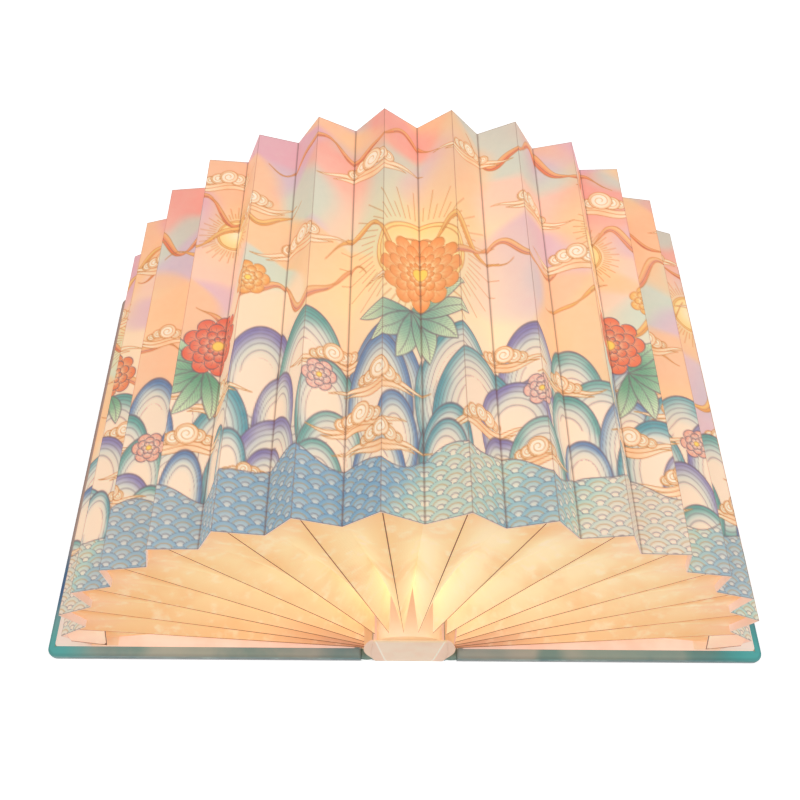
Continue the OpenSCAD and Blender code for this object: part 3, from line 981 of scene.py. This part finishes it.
@dataclass
class Fan:
    """The pleated paper: sixteen leaves, each two printed strips and two folded panels at either end.

    A leaf stands at an angle a from upright, on a root that lies a / 90 degrees of the way out over the
    closed fan's half width. Its crest is crest_mid less crest_loss * (a / 90 degrees) squared away from
    the root, and the valleys beside it lie a fold depth lower, half a step to either side. A panel's folds
    lie under the strips by tuck times the paper, and slack is the share of a closed leaf's room it fills.
    Slack is not used.
    """

    pleats: int = 8
    block_half: float = 17.5 * MM
    root_z: float = 3.5 * MM
    crest_mid: float = 143 * MM
    crest_loss: float = 4.5 * MM
    fold_depth: float = 11 * MM
    length: float = 200 * MM
    overhang: float = 3.5 * MM
    tooth_len: float = 22 * MM
    tooth_x: float = 20.5 * MM
    shallow: float = 0.5 * MM
    deep: float = 14 * MM
    slit_mid: float = 40 * MM
    slit_side: float = 5 * MM
    paper: float = 0.35 * MM
    cell: float = 0.45 * MM
    panel_rows: int = 26
    panel_cols: int = 12
    bow: float = 0.35 * MM
    tuck: float = 0.65
    tab_len: float = 18 * MM
    tab_cells: tuple = (12, 6)
    tab_fall: tuple = (0.3, 0.65)
    tab_low: tuple = (0.05, 0.45)
    mean_leaf: float = 3.5
    slack: float = 0.96

    @property
    def step(self) -> float:
        """Angle from leaf to leaf."""
        return QUARTER / self.pleats

    def at(self, a: float, reach: float, y: float) -> np.ndarray:
        """The point that lies reach away from the root of angle a, at a place along the spine."""
        root = self.block_half * a / QUARTER
        return np.array([root + reach * math.sin(a), y, self.root_z + reach * math.cos(a)])

    def crest_reach(self, a: float) -> float:
        """Distance from root to crest."""
        return self.crest_mid - self.crest_loss * (a / QUARTER) ** 2

    def valley_reach(self, a: float) -> float:
        """Distance from root to valley."""
        return self.crest_reach(a) - self.fold_depth

    def tooth_reach(self, a: float) -> float:
        """Distance from root to the inner end of a crest's edge."""
        root = self.block_half * a / QUARTER
        return min(self.tooth_len, (self.tooth_x - root) / math.sin(a))

    def slit_reach(self, a: float) -> float:
        """Distance from root to the inner end of a valley's edge."""
        return self.slit_mid + (self.slit_side - self.slit_mid) * a / QUARTER

    def strip(self, a: float, b: float, start: float, sign: int, picture: Picture) -> list[Patch]:
        """A printed strip from the crest at angle a to the valley at angle b, with its inner side.

        Args:
            a: The crest's angle.
            b: The valley's angle.
            start: Distance of the crest from the fan's middle on the unrolled paper.
            sign: 1 on the right half of the book, -1 on the left.
            picture: The print.

        Returns:
            The strip's patches.
        """
        half = self.length / 2
        c0, c1 = (self.at(a, self.crest_reach(a), s * half) for s in (-1, 1))
        v0, v1 = (self.at(b, self.valley_reach(b), s * (half - self.shallow)) for s in (-1, 1))
        width = float(np.linalg.norm(np.delete(v0 - c0, 1)))
        rows, cols = round(self.length / self.cell), round(width / self.cell)
        points = ruled(c0, c1, v0, v1, rows, cols)
        r, t = places(rows, cols)
        u = sign * (start + math.copysign(1, b - a) * t * width) / MM
        paint = picture.print_at(u, points[..., 1] / MM)
        # A dark line at each strip's cut end: partly the paper's edge, partly painted shade.
        end = np.clip(1 - np.minimum(r, 1 - r) * self.length / self.cell, 0, 1)
        paint = mixed(paint, linear(tone(Pen.EDGE.value)), 0.85 * end)
        values = {"paint": paint, "fold": t * width / MM, "rim": (1 - t) * width / MM}
        axis = self.at(a, 1, 0) - self.at(a, 0, 0)
        normal = np.cross(v0 - c0, (0, 1, 0))
        normal = normal / np.linalg.norm(normal) * math.copysign(1, float(normal @ axis))
        shift = np.stack([-axis * self.paper / float(normal @ axis), -normal * self.paper])
        return [Patch(points, tuple(axis), values, Layer.PRINT)] + shell(points[::rows, ::cols], shift[None])

    def panel_corners(self, a: float, b: float, end: int) -> list[np.ndarray]:
        """Ends of a panel's crest fold and valley fold, set back under the strips.

        Args:
            a: The crest's angle.
            b: The valley's angle.
            end: -1 for the front end, 1 for the back end.

        Returns:
            Outer and inner end of the crest fold, then of the valley fold.
        """
        half = self.length / 2
        under = self.tuck * self.paper
        return [
            self.at(a, self.crest_reach(a) - under, end * (half - self.overhang)),
            self.at(a, self.tooth_reach(a), end * half),
            self.at(b, self.valley_reach(b) - under, end * (half - self.overhang)),
            self.at(b, self.slit_reach(b), end * (half - self.deep)),
        ]

    def panel(self, a: float, b: float, end: int, sign: int) -> list[Patch]:
        """The panel between a crest's fold and a valley's fold at one end, with its inner side.

        The panel bows outward by bow * sin(pi r) * sin(pi t).

        Args:
            a: The crest's angle.
            b: The valley's angle.
            end: -1 for the front end, 1 for the back end.
            sign: 1 on the right half of the book, -1 on the left.

        Returns:
            The panel's patches.
        """
        points = ruled(*self.panel_corners(a, b, end), self.panel_rows, self.panel_cols)
        r, t = places(self.panel_rows, self.panel_cols)
        gap = np.linalg.norm(points[:, -1] - points[:, 0], axis=1)[:, None]
        points[..., 1] += end * self.bow * np.sin(np.pi * r) * np.sin(np.pi * t)
        paint = linear(self.panel_color(r, t, a, b > a, sign))
        values = {"paint": paint, "fold": t * gap / MM, "rim": FAR + 0 * t}
        behind = np.array([0, -end * self.paper, 0])
        return [Patch(points, (0, end, 0), values, Layer.PANEL)] + shell(points, behind)

    def panel_color(self, r: np.ndarray, t: np.ndarray, a: float, lower: bool, sign: int) -> np.ndarray:
        """Screen colour of a panel, mostly painted light and shade: orange at the rim, cream where the light
        bar's painted light falls, pink at the far tips, with painted shade by the spine on the outer leaves
        and under the crest on the side leaves.

        Args:
            r: Place from the tip, 0, to the tooth, 1.
            t: Place from the crest, 0, to the valley, 1.
            a: The crest's angle.
            lower: Whether the panel lies on the crest's lower side.
            sign: 1 on the right half of the book, -1 on the left.

        Returns:
            Three values for each place.
        """
        spread = a / QUARTER
        # Painted light: lighter toward the valley fold and the tooth, which lie nearer the light bar.
        lit = smooth(0.0, 0.85, t)
        color = mixed(tone("f5c88e"), tone("fce3b2"), 0.35 * smooth(0.0, 0.5, r) + 0.65 * lit)
        # Painted light: the right half is lit more than the left.
        color = mixed(color, tone("fdf0d2"), (0.26 + 0.22 * sign) * (0.4 + 0.6 * lit))
        # Painted light from the light bar, strongest at the tooth end of the middle leaves.
        light = (0.8 + 0.1 * sign) * (1 - 0.75 * spread) * smooth(0.3, 0.95, r) * (0.45 + 0.55 * lit)
        color = mixed(color, tone("fbeed8"), light)
        # Painted shade: the outer leaves, further from the light bar, turn more orange.
        color = mixed(color, tone("efb682"), 0.65 * spread**2 + 0 * r)
        color = mixed(color, tone("f3bd9c"), 0.7 * smooth(0.2, 0.0, r) * (0.4 + 0.6 * spread))
        # Painted shade: mauve brown at the spine end of the outer leaves.
        spine_shade = smooth(0.6, 1.0, r) * smooth(0.45, 0.85, spread)
        color = mixed(color, tone("c08f7c"), 0.75 * spine_shade)
        if lower:
            # Painted shade: a dark orange band just under the crest on the side leaves' lower panels.
            band_shade = float(smooth(0.3, 0.7, spread) * smooth(1, 0.85, spread))
            color = mixed(color, tone("e8a05a"), 0.65 * band_shade * (1 - t) ** 1.6)
        return color

    def corner_tab(self, a: float, b: float, end: int) -> list[Patch]:
        """The folded tab that closes the last pleat's outer corner, with its lower edge lifted.

        Args:
            a: The last crest's angle.
            b: The last valley's angle.
            end: -1 for the front end, 1 for the back end.

        Returns:
            The tab's patches.
        """
        half = self.length / 2
        reach = self.crest_reach(a) - 2 * self.paper
        set_back = end * (half - self.overhang)
        tip, inner = (self.at(a, reach - part * self.tab_len, set_back) for part in (0, 1))
        valley = self.valley_reach(b)
        low, foot = (self.at(b, valley - part * self.tab_len, end * half) for part in self.tab_low)
        fall, inner_fall = self.tab_fall
        ends = (tip + fall * (low - tip), inner + inner_fall * (foot - inner))
        points = ruled(tip, inner, *ends, *self.tab_cells)
        r, t = places(*self.tab_cells)
        points[..., 1] = end * (half - self.overhang * (1 - t))
        points[..., 1] += end * self.paper * (1.5 + t)
        wide = np.linalg.norm(points[:, -1] - points[:, 0], axis=1)[:, None]
        # Distance to the tab's inner end and lower edge: a dark line at the inner end, and painted shadow
        # along the lifted lower edge.
        line = np.minimum(0.6 * (1 - r) * self.tab_len, 0.9 * (1 - t) * wide) / MM
        paint = linear(mixed(tone("f3cdb8"), tone("fbdfc6"), r * (1 - t)))
        values = {"paint": paint, "fold": line, "rim": FAR + 0 * line}
        behind = np.array([0, -end * self.paper, 0])
        return [Patch(points, (0, end, 0), values, Layer.PANEL)] + shell(points, behind, False)

    def leaf(
        self, side: Side, number: int, finishes: list[bpy.types.Material], picture: Picture
    ) -> bpy.types.Object:
        """One leaf, printed, and tied to its fold's joint.

        Args:
            side: Half of the book.
            number: Leaf's number from the middle, from 1.
            finishes: Materials of the layers, in their order.
            picture: The print.

        Returns:
            The leaf's object.
        """
        a = self.step * (number - 0.5)
        start = (2 * number - 1) * self.strip_width(self.step * self.mean_leaf)
        patches = []
        for b in (a - self.step / 2, a + self.step / 2):
            patches += self.strip(a, b, start, side.value, picture)
            for end in (-1, 1):
                patches += self.panel(a, b, end, side.value)
                if number == self.pleats and b > a:
                    patches += self.corner_tab(a, b, end)
        for patch in patches:
            patch.points = patch.points * (side.value, 1, 1)
            patch.outward = (patch.outward[0] * side.value, patch.outward[1], patch.outward[2])
        name = f"{side.word}_{number}"
        piece = joined("leaf_" + name, patches)
        for finish in finishes:
            piece.data.materials.append(finish)
        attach(piece, "fold_" + name)
        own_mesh(piece)
        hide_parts("pleat_" + name)
        return piece

    def strip_width(self, a: float) -> float:
        """Width of a strip between a crest at angle a and the valley after it."""
        b = a + self.step / 2
        return float(np.linalg.norm(self.at(b, self.valley_reach(b), 0) - self.at(a, self.crest_reach(a), 0)))

    def build(self) -> list[bpy.types.Object]:
        """All leaves of both halves.

        Returns:
            The leaves' objects.
        """
        picture = Picture()
        inner = PlainPaper("leaf_back", "f0d8cc", "eaccba", 0.22).material()
        finishes = [PrintedPaper().material(), EndPaper().material(), inner]
        return [self.leaf(side, k, finishes, picture) for side in Side for k in range(1, self.pleats + 1)]


@dataclass
class Case:
    """The two covers' wrap, the grooves that hinge them, and the finish of the spine's wrap.

    The two values of turn_in are how far the wrap runs in over the board, along X and along Y.
    """

    thick: float = 3.1 * MM
    wrap: float = 0.3 * MM
    turn_in: tuple = (3 * MM, 5 * MM)
    corner: float = 4.5 * MM
    edge_r: float = 0.7 * MM
    arc_steps: int = 14
    edge_steps: int = 7
    run_steps: int = 40
    cloth: float = 0.4 * MM
    cloth_points: tuple = (17, 85)
    dip: float = 0.7 * MM

    def outline(self, low: np.ndarray, high: np.ndarray) -> tuple[np.ndarray, np.ndarray]:
        """Points round a cover and the direction in which each moves when the outline shrinks.

        The fore edge's corners are arcs of the corner radius, and the others are square.

        Args:
            low: Lowest corner of the cover's box, for the right cover.
            high: Highest corner of the cover's box.

        Returns:
            Places and directions, one row each.
        """
        a = np.linspace(0, QUARTER, self.arc_steps)
        arc = np.stack([np.cos(a), np.sin(a)], 1)
        upper = high[:2] - self.corner + self.corner * arc
        run = np.linspace(low[0], high[0] - self.corner, self.run_steps)[:-1]
        rise = np.linspace(self.corner - high[1], high[1] - self.corner, self.run_steps)[1:-1]
        fore = np.stack([high[0] + 0 * rise, rise], 1)
        top = np.stack([run[::-1], high[1] + 0 * run], 1)
        place = np.concatenate([top[::-1] * (1, -1), upper[::-1] * (1, -1), fore, upper, top])
        up, back = (0, 1) + 0 * top, (-1, 0) + 0 * fore
        inward = np.concatenate([up, -arc[::-1] * (1, -1), back, -arc, -up])
        inward[[0, -1], 0] = 1
        return place, inward

    def profile(self) -> np.ndarray:
        """The wrap's section: distance in from the outline, and height, from the top's turn-in outward.

        Returns:
            Points along the outer side, then back along the inner side.
        """
        a = np.linspace(0, QUARTER, self.edge_steps)
        r = self.edge_r
        top = np.stack([r - r * np.sin(a), self.thick - r + r * np.cos(a)], 1)
        side = [[0, z] for z in np.linspace(self.thick - r, r, 6)[1:-1]]
        low = np.stack([r - r * np.cos(a), r - r * np.sin(a)], 1)
        deep = max(self.turn_in)
        back = [[deep, 0], [deep, self.wrap], [self.wrap, self.wrap], [self.wrap, self.thick - self.wrap]]
        start = [[deep, self.thick], [3 * r, self.thick]]
        return np.concatenate([start, top, side, low, back, [[deep, self.thick - self.wrap]]])

    def wrap_values(self, points: np.ndarray, depth: np.ndarray, far: np.ndarray) -> dict[str, np.ndarray]:
        """The wrap's stored values, each from 0 to 1.

        Args:
            points: Points of the right cover's wrap.
            depth: Distance of each point in from the outline.
            far: Highest corner of the cover's box.

        Returns:
            Wear with a painted highlight at the upper edge, closeness to a corner and to the fore edge's two
            parts, and painted shade at the lower edge.
        """
        x, y, z = np.moveaxis(points, -1, 0)
        away = np.hypot(x - far[0], np.abs(y) - far[1])
        fore = 0.85 * smooth(7 * MM, 2 * MM, far[0] - x)
        front = smooth(-45 * MM, -70 * MM, y)
        return {
            # Wear and painted highlight on the upper rounded edge.
            "edge": (depth < 0.4 * self.edge_r) * smooth(1.8 * MM, 2.6 * MM, z),
            "corner": 0.85 * smooth(30 * MM, 5 * MM, away) * smooth(0, -20 * MM, y),
            "fore": fore * front * smooth(12 * MM, 30 * MM, away),
            "side": fore * (1 - front),
            # Painted shade: darker down the rounded edge, to near black at its foot.
            "low": (0.25 + 0.35 * smooth(3.1 * MM, 2.3 * MM, z) + 0.4 * smooth(1.2 * MM, 0.5 * MM, z))
            * (depth < 2 * self.edge_r),
        }

    def cover(self, side: Side, finish: bpy.types.Material) -> bpy.types.Object:
        """A cover's wrap: the profile carried round the outline, with both flat sides of the sheet.

        Args:
            side: Half of the book.
            finish: The wrap's material.

        Returns:
            The wrap's object.
        """
        low, high = (np.array(c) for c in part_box("cover_wrap_right"))
        place, inward = self.outline(low, high)
        profile = self.profile()
        n, m = len(place), len(profile)
        depth = profile[:, :1]
        scale = np.array([self.turn_in[0] / max(self.turn_in), 1])
        stretch = np.where(depth[..., None] > 2 * self.edge_r, scale, 1.0)
        flat = place[None] + depth[..., None] * inward[None] * stretch
        height = np.broadcast_to(profile[:, 1][:, None, None], (m, n, 1))
        points = np.concatenate([flat, height], 2)
        values = self.wrap_values(points, depth, high)
        points[..., 0] *= side.value
        index = np.arange(m * n).reshape(m, n)
        after = np.roll(index, -1, axis=1)
        below = np.roll(index, -1, axis=0)
        corner = np.roll(below, -1, axis=1)
        # Between these two rings lie the sheet's flat sides instead of a wall.
        flat_ring = m - 5
        rows = [k for k in range(m) if k != flat_ring]
        quads = np.stack([index, below, corner, after], -1)[rows].reshape(-1, 4)
        faces = quads.tolist() + [index[flat_ring][::-1].tolist(), index[flat_ring + 1].tolist()]
        piece = new_object(f"case_{side.word}", points.reshape(-1, 3), handed(faces, side))
        put_values(piece, {key: value.ravel() for key, value in values.items()})
        piece.data.materials.append(finish)
        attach(piece, f"cover_{side.word}")
        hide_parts(f"cover_wrap_{side.word}")
        return piece

    def groove(self, side: Side, finish: bpy.types.Material, lining: bpy.types.Material) -> bpy.types.Object:
        """The cloth in a hinge groove: a strip that dips by a half sine between spine and cover.

        Args:
            side: Half of the book.
            finish: The cloth's material.
            lining: Material of the paper that lines the cloth's upper side.

        Returns:
            The cloth's object.
        """
        low, high = (np.array(c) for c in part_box("hinge_cloth_right"))
        across, along = self.cloth_points
        t = np.linspace(0, 1, across)
        y = np.linspace(low[1], high[1], along)
        x = low[0] + (high[0] - low[0]) * t
        z = high[2] - self.dip * np.sin(np.pi * t) ** 2
        top = np.stack(np.broadcast_arrays(x[None], y[:, None], z[None]), -1)
        bottom = top - (0, 0, self.cloth)
        loop = np.concatenate([top, bottom[:, ::-1]], 1)
        loop[..., 0] *= side.value
        rows, cols = loop.shape[:2]
        index = np.arange(rows * cols).reshape(rows, cols)
        after = np.roll(index, -1, axis=1)
        quads = np.stack([index[:-1], after[:-1], after[1:], index[1:]], -1).reshape(-1, 4)
        faces = quads.tolist() + [index[0][::-1].tolist(), index[-1].tolist()]
        piece = new_object(f"groove_{side.word}", loop.reshape(-1, 3), handed(faces, side), True)
        upper = np.broadcast_to(np.arange(cols) < across - 1, (rows - 1, cols))
        lined = upper & (np.abs(y[:-1] + y[1:]) / 2 < high[1] - max(self.turn_in))[:, None]
        order = np.append(lined.ravel(), [False, False]).astype(np.int32)
        piece.data.polygons.foreach_set("material_index", order)
        for material in (finish, lining):
            piece.data.materials.append(material)
        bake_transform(piece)
        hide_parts(f"hinge_cloth_{side.word}")
        return piece

    def build(self) -> list[bpy.types.Object]:
        """Both covers' wraps and grooves.

        Returns:
            Their objects.
        """
        wrap = CaseWrap().material()
        cloth = Solid("groove_cloth", "6f9690", "8fa79c", 0.55, grain=90).material()
        lining = PlainPaper("groove_lining", "fbdcb0", "f2c48e", 0.3).material()
        dress("spine_wrap", wrap)
        pieces = [self.cover(side, wrap) for side in Side]
        return pieces + [self.groove(side, cloth, lining) for side in Side]


@dataclass
class Flaps:
    """The paper flap that stands at the front end of the spine, and the flaps' soft ears.

    widest, ear_from and ear_to are shares of the height. A crease starts crease_foot from the middle and
    moves out by crease_run up to the top.
    """

    height: float = 18 * MM
    foot: float = 15.5 * MM
    wide: float = 17.5 * MM
    top: float = 16.4 * MM
    ear: float = 21 * MM
    lean: float = 3.8 * MM
    upright: float = 3.3 * MM
    thick: float = 0.4 * MM
    end_y: float = 105 * MM
    widest: float = 0.45
    ear_from: float = 0.16
    ear_to: float = 0.97
    ear_keep: float = 0.12
    ear_curl: float = 0.6 * MM
    ear_back: float = 0.25 * MM
    overlap: float = 0.1 * MM
    crease_foot: float = 10.3 * MM
    crease_run: float = 5.4 * MM
    ripple: float = 0.35 * MM
    ripple_pace: float = 3.1 * MM
    cells: tuple = (36, 56)
    ear_cells: tuple = (24, 8)
    glow: float = 0.2

    def half_width(self, h: np.ndarray) -> np.ndarray:
        """Half width at a share of the height: a quarter sine out to the ears, a quarter cosine back.

        Args:
            h: Shares of the height.

        Returns:
            The half width at each.
        """
        rise = QUARTER * np.clip(h / self.widest, 0, 1)
        fall = QUARTER * np.clip((h - self.widest) / (1 - self.widest), 0, 1)
        rising = self.foot + (self.wide - self.foot) * np.sin(rise)
        closing = self.top + (self.wide - self.top) * np.cos(fall)
        return np.where(h < self.widest, rising, closing)

    def depth(self, z: np.ndarray, edge_y: float) -> np.ndarray:
        """Distance along the spine at a height: upright past the board, then leaning in."""
        return edge_y - self.lean * np.clip((z - self.upright) / (self.height - self.upright), 0, 1)

    def front(self, finish: bpy.types.Material) -> bpy.types.Object:
        """The front flap with its two slanting creases.

        Args:
            finish: The flap's material.

        Returns:
            The flap's object.
        """
        low, _ = (np.array(c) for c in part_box("front_flap"))
        h, w = places(*self.cells)
        w = 2 * w - 1
        foot = low[2] + self.overlap
        z = foot + h * (self.height - foot)
        x = self.half_width(h) * w
        wave = self.ripple * np.cos(x / self.ripple_pace) * h * (1 - h)
        y = wave - self.depth(z, -low[1] - 0.05 * MM)
        crease_x = self.crease_foot + self.crease_run * h
        values = {
            "fold": np.abs(np.abs(x) - crease_x) / MM,
            "rim": (1 - h) * self.height / MM,
            "along": smooth(0, 1, (np.abs(x) - crease_x) / MM),
        }
        piece = joined("flap_front", [Patch(np.stack([x, y, z], -1), (0, -1, 0), values)], True)
        self.finish_flap(piece, finish)
        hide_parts("front_flap")
        return piece

    def finish_flap(self, piece: bpy.types.Object, finish: bpy.types.Material) -> None:
        """Gives a flap its thickness and finish, and ties it to the spine.

        Args:
            piece: The flap's sheet.
            finish: Its material.
        """
        piece.data.materials.append(finish)
        solidify = piece.modifiers.new("paper", "SOLIDIFY")
        solidify.thickness = self.thick
        solidify.offset = -1
        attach(piece, "spine")

    def ear_piece(self, side: Side, end: int, finish: bpy.types.Material) -> bpy.types.Object:
        """The rounded edge of a flap beyond the closed covers, which folds in as the book closes.

        The edge bulges by a half sine over the ear's height, to the power 0.6.

        Args:
            side: Half of the book.
            end: -1 for the front end, 1 for the back end.
            finish: The flap's material.

        Returns:
            The ear's object.
        """
        share, w = places(*self.ear_cells)
        h = self.ear_from + (self.ear_to - self.ear_from) * share
        z = h * self.height
        inner = self.half_width(h) - self.overlap
        bulge = np.sin(np.pi * share) ** 0.6
        x = (inner + (self.ear - self.wide) * bulge * w) * side.value
        y = end * (self.depth(z, self.end_y) - self.ear_curl * w**2 - self.ear_back)
        values = {"fold": 0 * x + FAR, "rim": 0 * x + FAR, "along": 0 * x + 1}
        where = "front" if end < 0 else "back"
        patch = Patch(np.stack([x, y, z], -1), (0, end, 0), values)
        piece = joined(f"ear_{where}_{side.word}", [patch], True)
        self.finish_flap(piece, finish)
        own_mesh(piece)
        return piece

    def material(self) -> bpy.types.Material:
        """Pinkish paper, paler along its creases and yellow where light falls on its top edge.

        Returns:
            The material.
        """
        recipe = Recipe("flap_paper", 0.6)
        color = recipe.tint(paint_of("f2dcc6"), recipe.value("along"), "eccfbb")
        color = recipe.tint(color, recipe.span(recipe.noise(90, 5), 0.4, 0.7, 0, 0.4), "e4c0a4")
        color = recipe.tint(color, recipe.span(recipe.value("fold"), 0.15, 0.6, 0.8, 0), "fff2e4")
        color = recipe.tint(color, recipe.span(recipe.value("rim"), 0.3, 2.2, 0.7, 0), "fbd9a8")
        # Painted glow for the lamp's light through the flap's paper.
        recipe.dye(color, self.glow)
        recipe.relief(recipe.noise(500, 4), 0.00008, 0.7)
        return recipe.material

    def build(self) -> list[bpy.types.Object]:
        """The front flap and four ears, with the back flap's finish.

        Returns:
            The new objects.
        """
        finish = self.material()
        dress("back_flap", finish)
        return [self.front(finish)] + [self.ear_piece(side, end, finish) for side in Side for end in (-1, 1)]


def dress(node: str, material: bpy.types.Material) -> None:
    """Gives a CAD node a material in place of its own.

    Args:
        node: The node's name.
        material: The finish.
    """
    shown = bpy.data.objects[node].data.materials
    shown.clear()
    shown.append(material)


@dataclass
class Hardware:
    """Finishes of the boards, sheets, light bar and electric pieces that keep their CAD shape."""

    def build(self) -> list[str]:
        """Dresses each node by its finish.

        Returns:
            Names of the dressed nodes.
        """
        card = PlainPaper("grey_board", "b9a78a", "a08d70").material()
        sheet = PlainPaper("end_sheet", "fde6d8", "f8d8c6", 0.2).material()
        tab = PlainPaper("glue_tab", "fbe6cd", "f3d2ae", 0.15).material()
        circuit = Solid("circuit", "1d5a36", "27704a", 0.4, grain=800).material()
        opal = Solid("opal_diffuser", "fff0d4", "ffe6bc", 0.4, grain=40, glow=0.22).material()
        steel = Solid("plated_steel", "c4c6ca", "aeb1b6", 0.28, 1.0, 900, (1, 0.1, 1)).material()
        # The glows on the end sheets, glue tabs and tray are painted light from the light bar; the diodes'
        # and diffuser's glow is the lamp's own light.
        finishes = {
            card: ("spine_board", "cover_board_right", "cover_board_left"),
            sheet: ("spine_liner", "end_sheet_right", "end_sheet_left"),
            tab: ("glue_tab_right", "glue_tab_left"),
            Solid("foam_tape", "f2f0ec", "e2dfd8", 0.8, grain=1500).material(): ("mounting_tape",),
            Solid("moulded_tray", "f8e2c2", "efd4ac", 0.45, glow=0.2).material(): ("bar_tray",),
            opal: ("bar_diffuser",),
            Solid("white_circuit", "f2f3ee", "e4e6e0", 0.4, grain=700).material(): ("diode_board",),
            Solid("diode", "ffd873", "ffc542", 0.3, glow=1.0).material(): ("diodes",),
            Solid("foil_pouch", "c9ccd0", "b4b8bd", 0.35, 0.9, 200, (1, 3, 1)).material(): ("battery_cell",),
            circuit: ("control_board",),
            Solid("chip", "1c1c1f", "2a2a2e", 0.5, grain=1200).material(): ("control_chips",),
            steel: ("charging_socket", "board_screws", "sensor_magnet"),
            Solid("reed_glass", "c9e8cf", "b5dcc0", 0.1, clear=0.6).material(): ("reed_switch",),
            Solid("wire", "b8231c", "9c1a15", 0.5, grain=600).material(): ("lead_wires",),
        }
        for material, nodes in finishes.items():
            for node in nodes:
                dress(node, material)
        return [node for nodes in finishes.values() for node in nodes]


# Stage


@dataclass
class Studio:
    """The floor, the lamps, the world and the camera.

    The focal length and the picture's side are in pixels, and the camera's angles are in degrees.
    """

    focal_px: float = 889.3
    frame_px: float = 800.0
    pitch: float = 56.828
    yaw: float = 3.055
    roll: float = 3.429
    place: tuple = (-0.01782, -0.22803, 0.40874)
    aim: tuple = (0, 0, 0.05)
    floor_half: float = 6.0
    floor_drop: float = 0.2 * MM
    floor_lift: float = 0.6
    around: float = 0.3

    def camera(self) -> None:
        """A camera that looks down by the pitch, turned by the yaw and rolled about its view."""
        pitch, yaw, roll = (math.radians(v) for v in (self.pitch, self.yaw, self.roll))
        view = np.array([math.sin(yaw) * math.cos(pitch), math.cos(yaw) * math.cos(pitch), -math.sin(pitch)])
        level = np.array([math.cos(yaw), -math.sin(yaw), 0.0])
        up = np.cross(level, view)
        right = level * math.cos(roll) + up * math.sin(roll)
        above = -level * math.sin(roll) + up * math.cos(roll)
        data = bpy.data.cameras.new("camera")
        data.sensor_width = 36.0
        data.lens = self.focal_px / self.frame_px * data.sensor_width
        data.clip_start = 0.01
        bpy.context.scene.camera = self.stand("camera", data, (right, above, -view), self.place)

    def stand(self, name: str, data: bpy.types.ID, axes: tuple, place: tuple) -> bpy.types.Object:
        """Puts a camera or a lamp into the scene.

        Args:
            name: Name of the object.
            data: The camera or the lamp.
            axes: Its own X, Y and Z axis, as unit vectors.
            place: Where it stands.

        Returns:
            The object.
        """
        shown = bpy.data.objects.new(name, data)
        turn = np.eye(4)
        turn[:3, :3] = np.stack(axes, 1)
        turn[:3, 3] = place
        shown.matrix_world = Matrix(turn.tolist())
        bpy.context.scene.collection.objects.link(shown)
        return shown

    def lamp(self, name: str, place: tuple, size: float, power: float) -> None:
        """A square area lamp that faces the object.

        Args:
            name: Name of the lamp.
            place: Where it hangs.
            size: Length of its side.
            power: Power in watts.
        """
        data = bpy.data.lights.new(name, "AREA")
        data.size = size
        data.energy = power
        toward = np.array(self.aim) - np.array(place)
        toward = toward / np.linalg.norm(toward)
        side = np.cross(toward, (0, 1, 0))
        side = side / np.linalg.norm(side)
        self.stand(name, data, (side, np.cross(side, toward), -toward), place)

    def camera_only(self, tree: bpy.types.NodeTree) -> bpy.types.NodeSocket:
        """1 for rays from the camera and those that metal and glass pass on, else 0.

        Args:
            tree: Node tree that the nodes are added to.

        Returns:
            The socket with the value.
        """
        path = tree.nodes.new("ShaderNodeLightPath")
        total = path.outputs["Is Camera Ray"]
        for name in ("Is Glossy Ray", "Is Transmission Ray"):
            both = tree.nodes.new("ShaderNodeMath")
            both.operation = "MAXIMUM"
            tree.links.new(total, both.inputs[0])
            tree.links.new(path.outputs[name], both.inputs[1])
            total = both.outputs[0]
        return total

    def floor(self) -> None:
        """A pale floor whose own light, seen by the camera and in metal and glass, lifts it to white."""
        corners = np.array([[-1, -1, 0], [1, -1, 0], [1, 1, 0], [-1, 1, 0]]) * self.floor_half
        piece = new_object("floor", corners - (0, 0, self.floor_drop), [[0, 1, 2, 3]])
        recipe = Recipe("floor", 0.9)
        recipe.shader.inputs["Base Color"].default_value = (0.9, 0.9, 0.9, 1)
        recipe.shader.inputs["Emission Color"].default_value = (1, 1, 1, 1)
        lift = recipe.scale(self.camera_only(recipe.tree), self.floor_lift)
        recipe.link(lift, "Emission Strength")
        piece.data.materials.append(recipe.material)

    def world(self) -> None:
        """Soft white light all round, and white for the camera."""
        scene = bpy.context.scene
        scene.world = scene.world or bpy.data.worlds.new("world")
        scene.world.use_nodes = True
        tree = scene.world.node_tree
        back = tree.nodes["Background"]
        back.inputs["Color"].default_value = (1, 1, 1, 1)
        span = tree.nodes.new("ShaderNodeMapRange")
        span.inputs["To Min"].default_value = self.around
        span.inputs["To Max"].default_value = 1.0
        tree.links.new(self.camera_only(tree), span.inputs["Value"])
        tree.links.new(span.outputs[0], back.inputs["Strength"])

    def build(self) -> None:
        """Sets the whole stage."""
        self.camera()
        self.floor()
        self.world()
        self.lamp("key", (-0.5, -0.5, 0.9), 0.7, 3.2)
        self.lamp("fill", (0.7, -0.3, 0.7), 0.8, 2.0)
        self.lamp("back", (0.1, 0.8, 0.7), 0.8, 2.0)
        bpy.context.scene.view_settings.view_transform = "Standard"


def main() -> None:
    """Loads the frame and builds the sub-assemblies in order."""
    logging.basicConfig(level=logging.INFO, format="%(message)s")
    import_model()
    Studio().build()
    for name, assembly in (("fan", Fan()), ("case", Case()), ("flaps", Flaps()), ("hardware", Hardware())):
        pieces = assembly.build()
        for piece in pieces:
            log.info("%s: %s", name, piece if isinstance(piece, str) else piece.name)


if __name__ == "__main__":
    main()
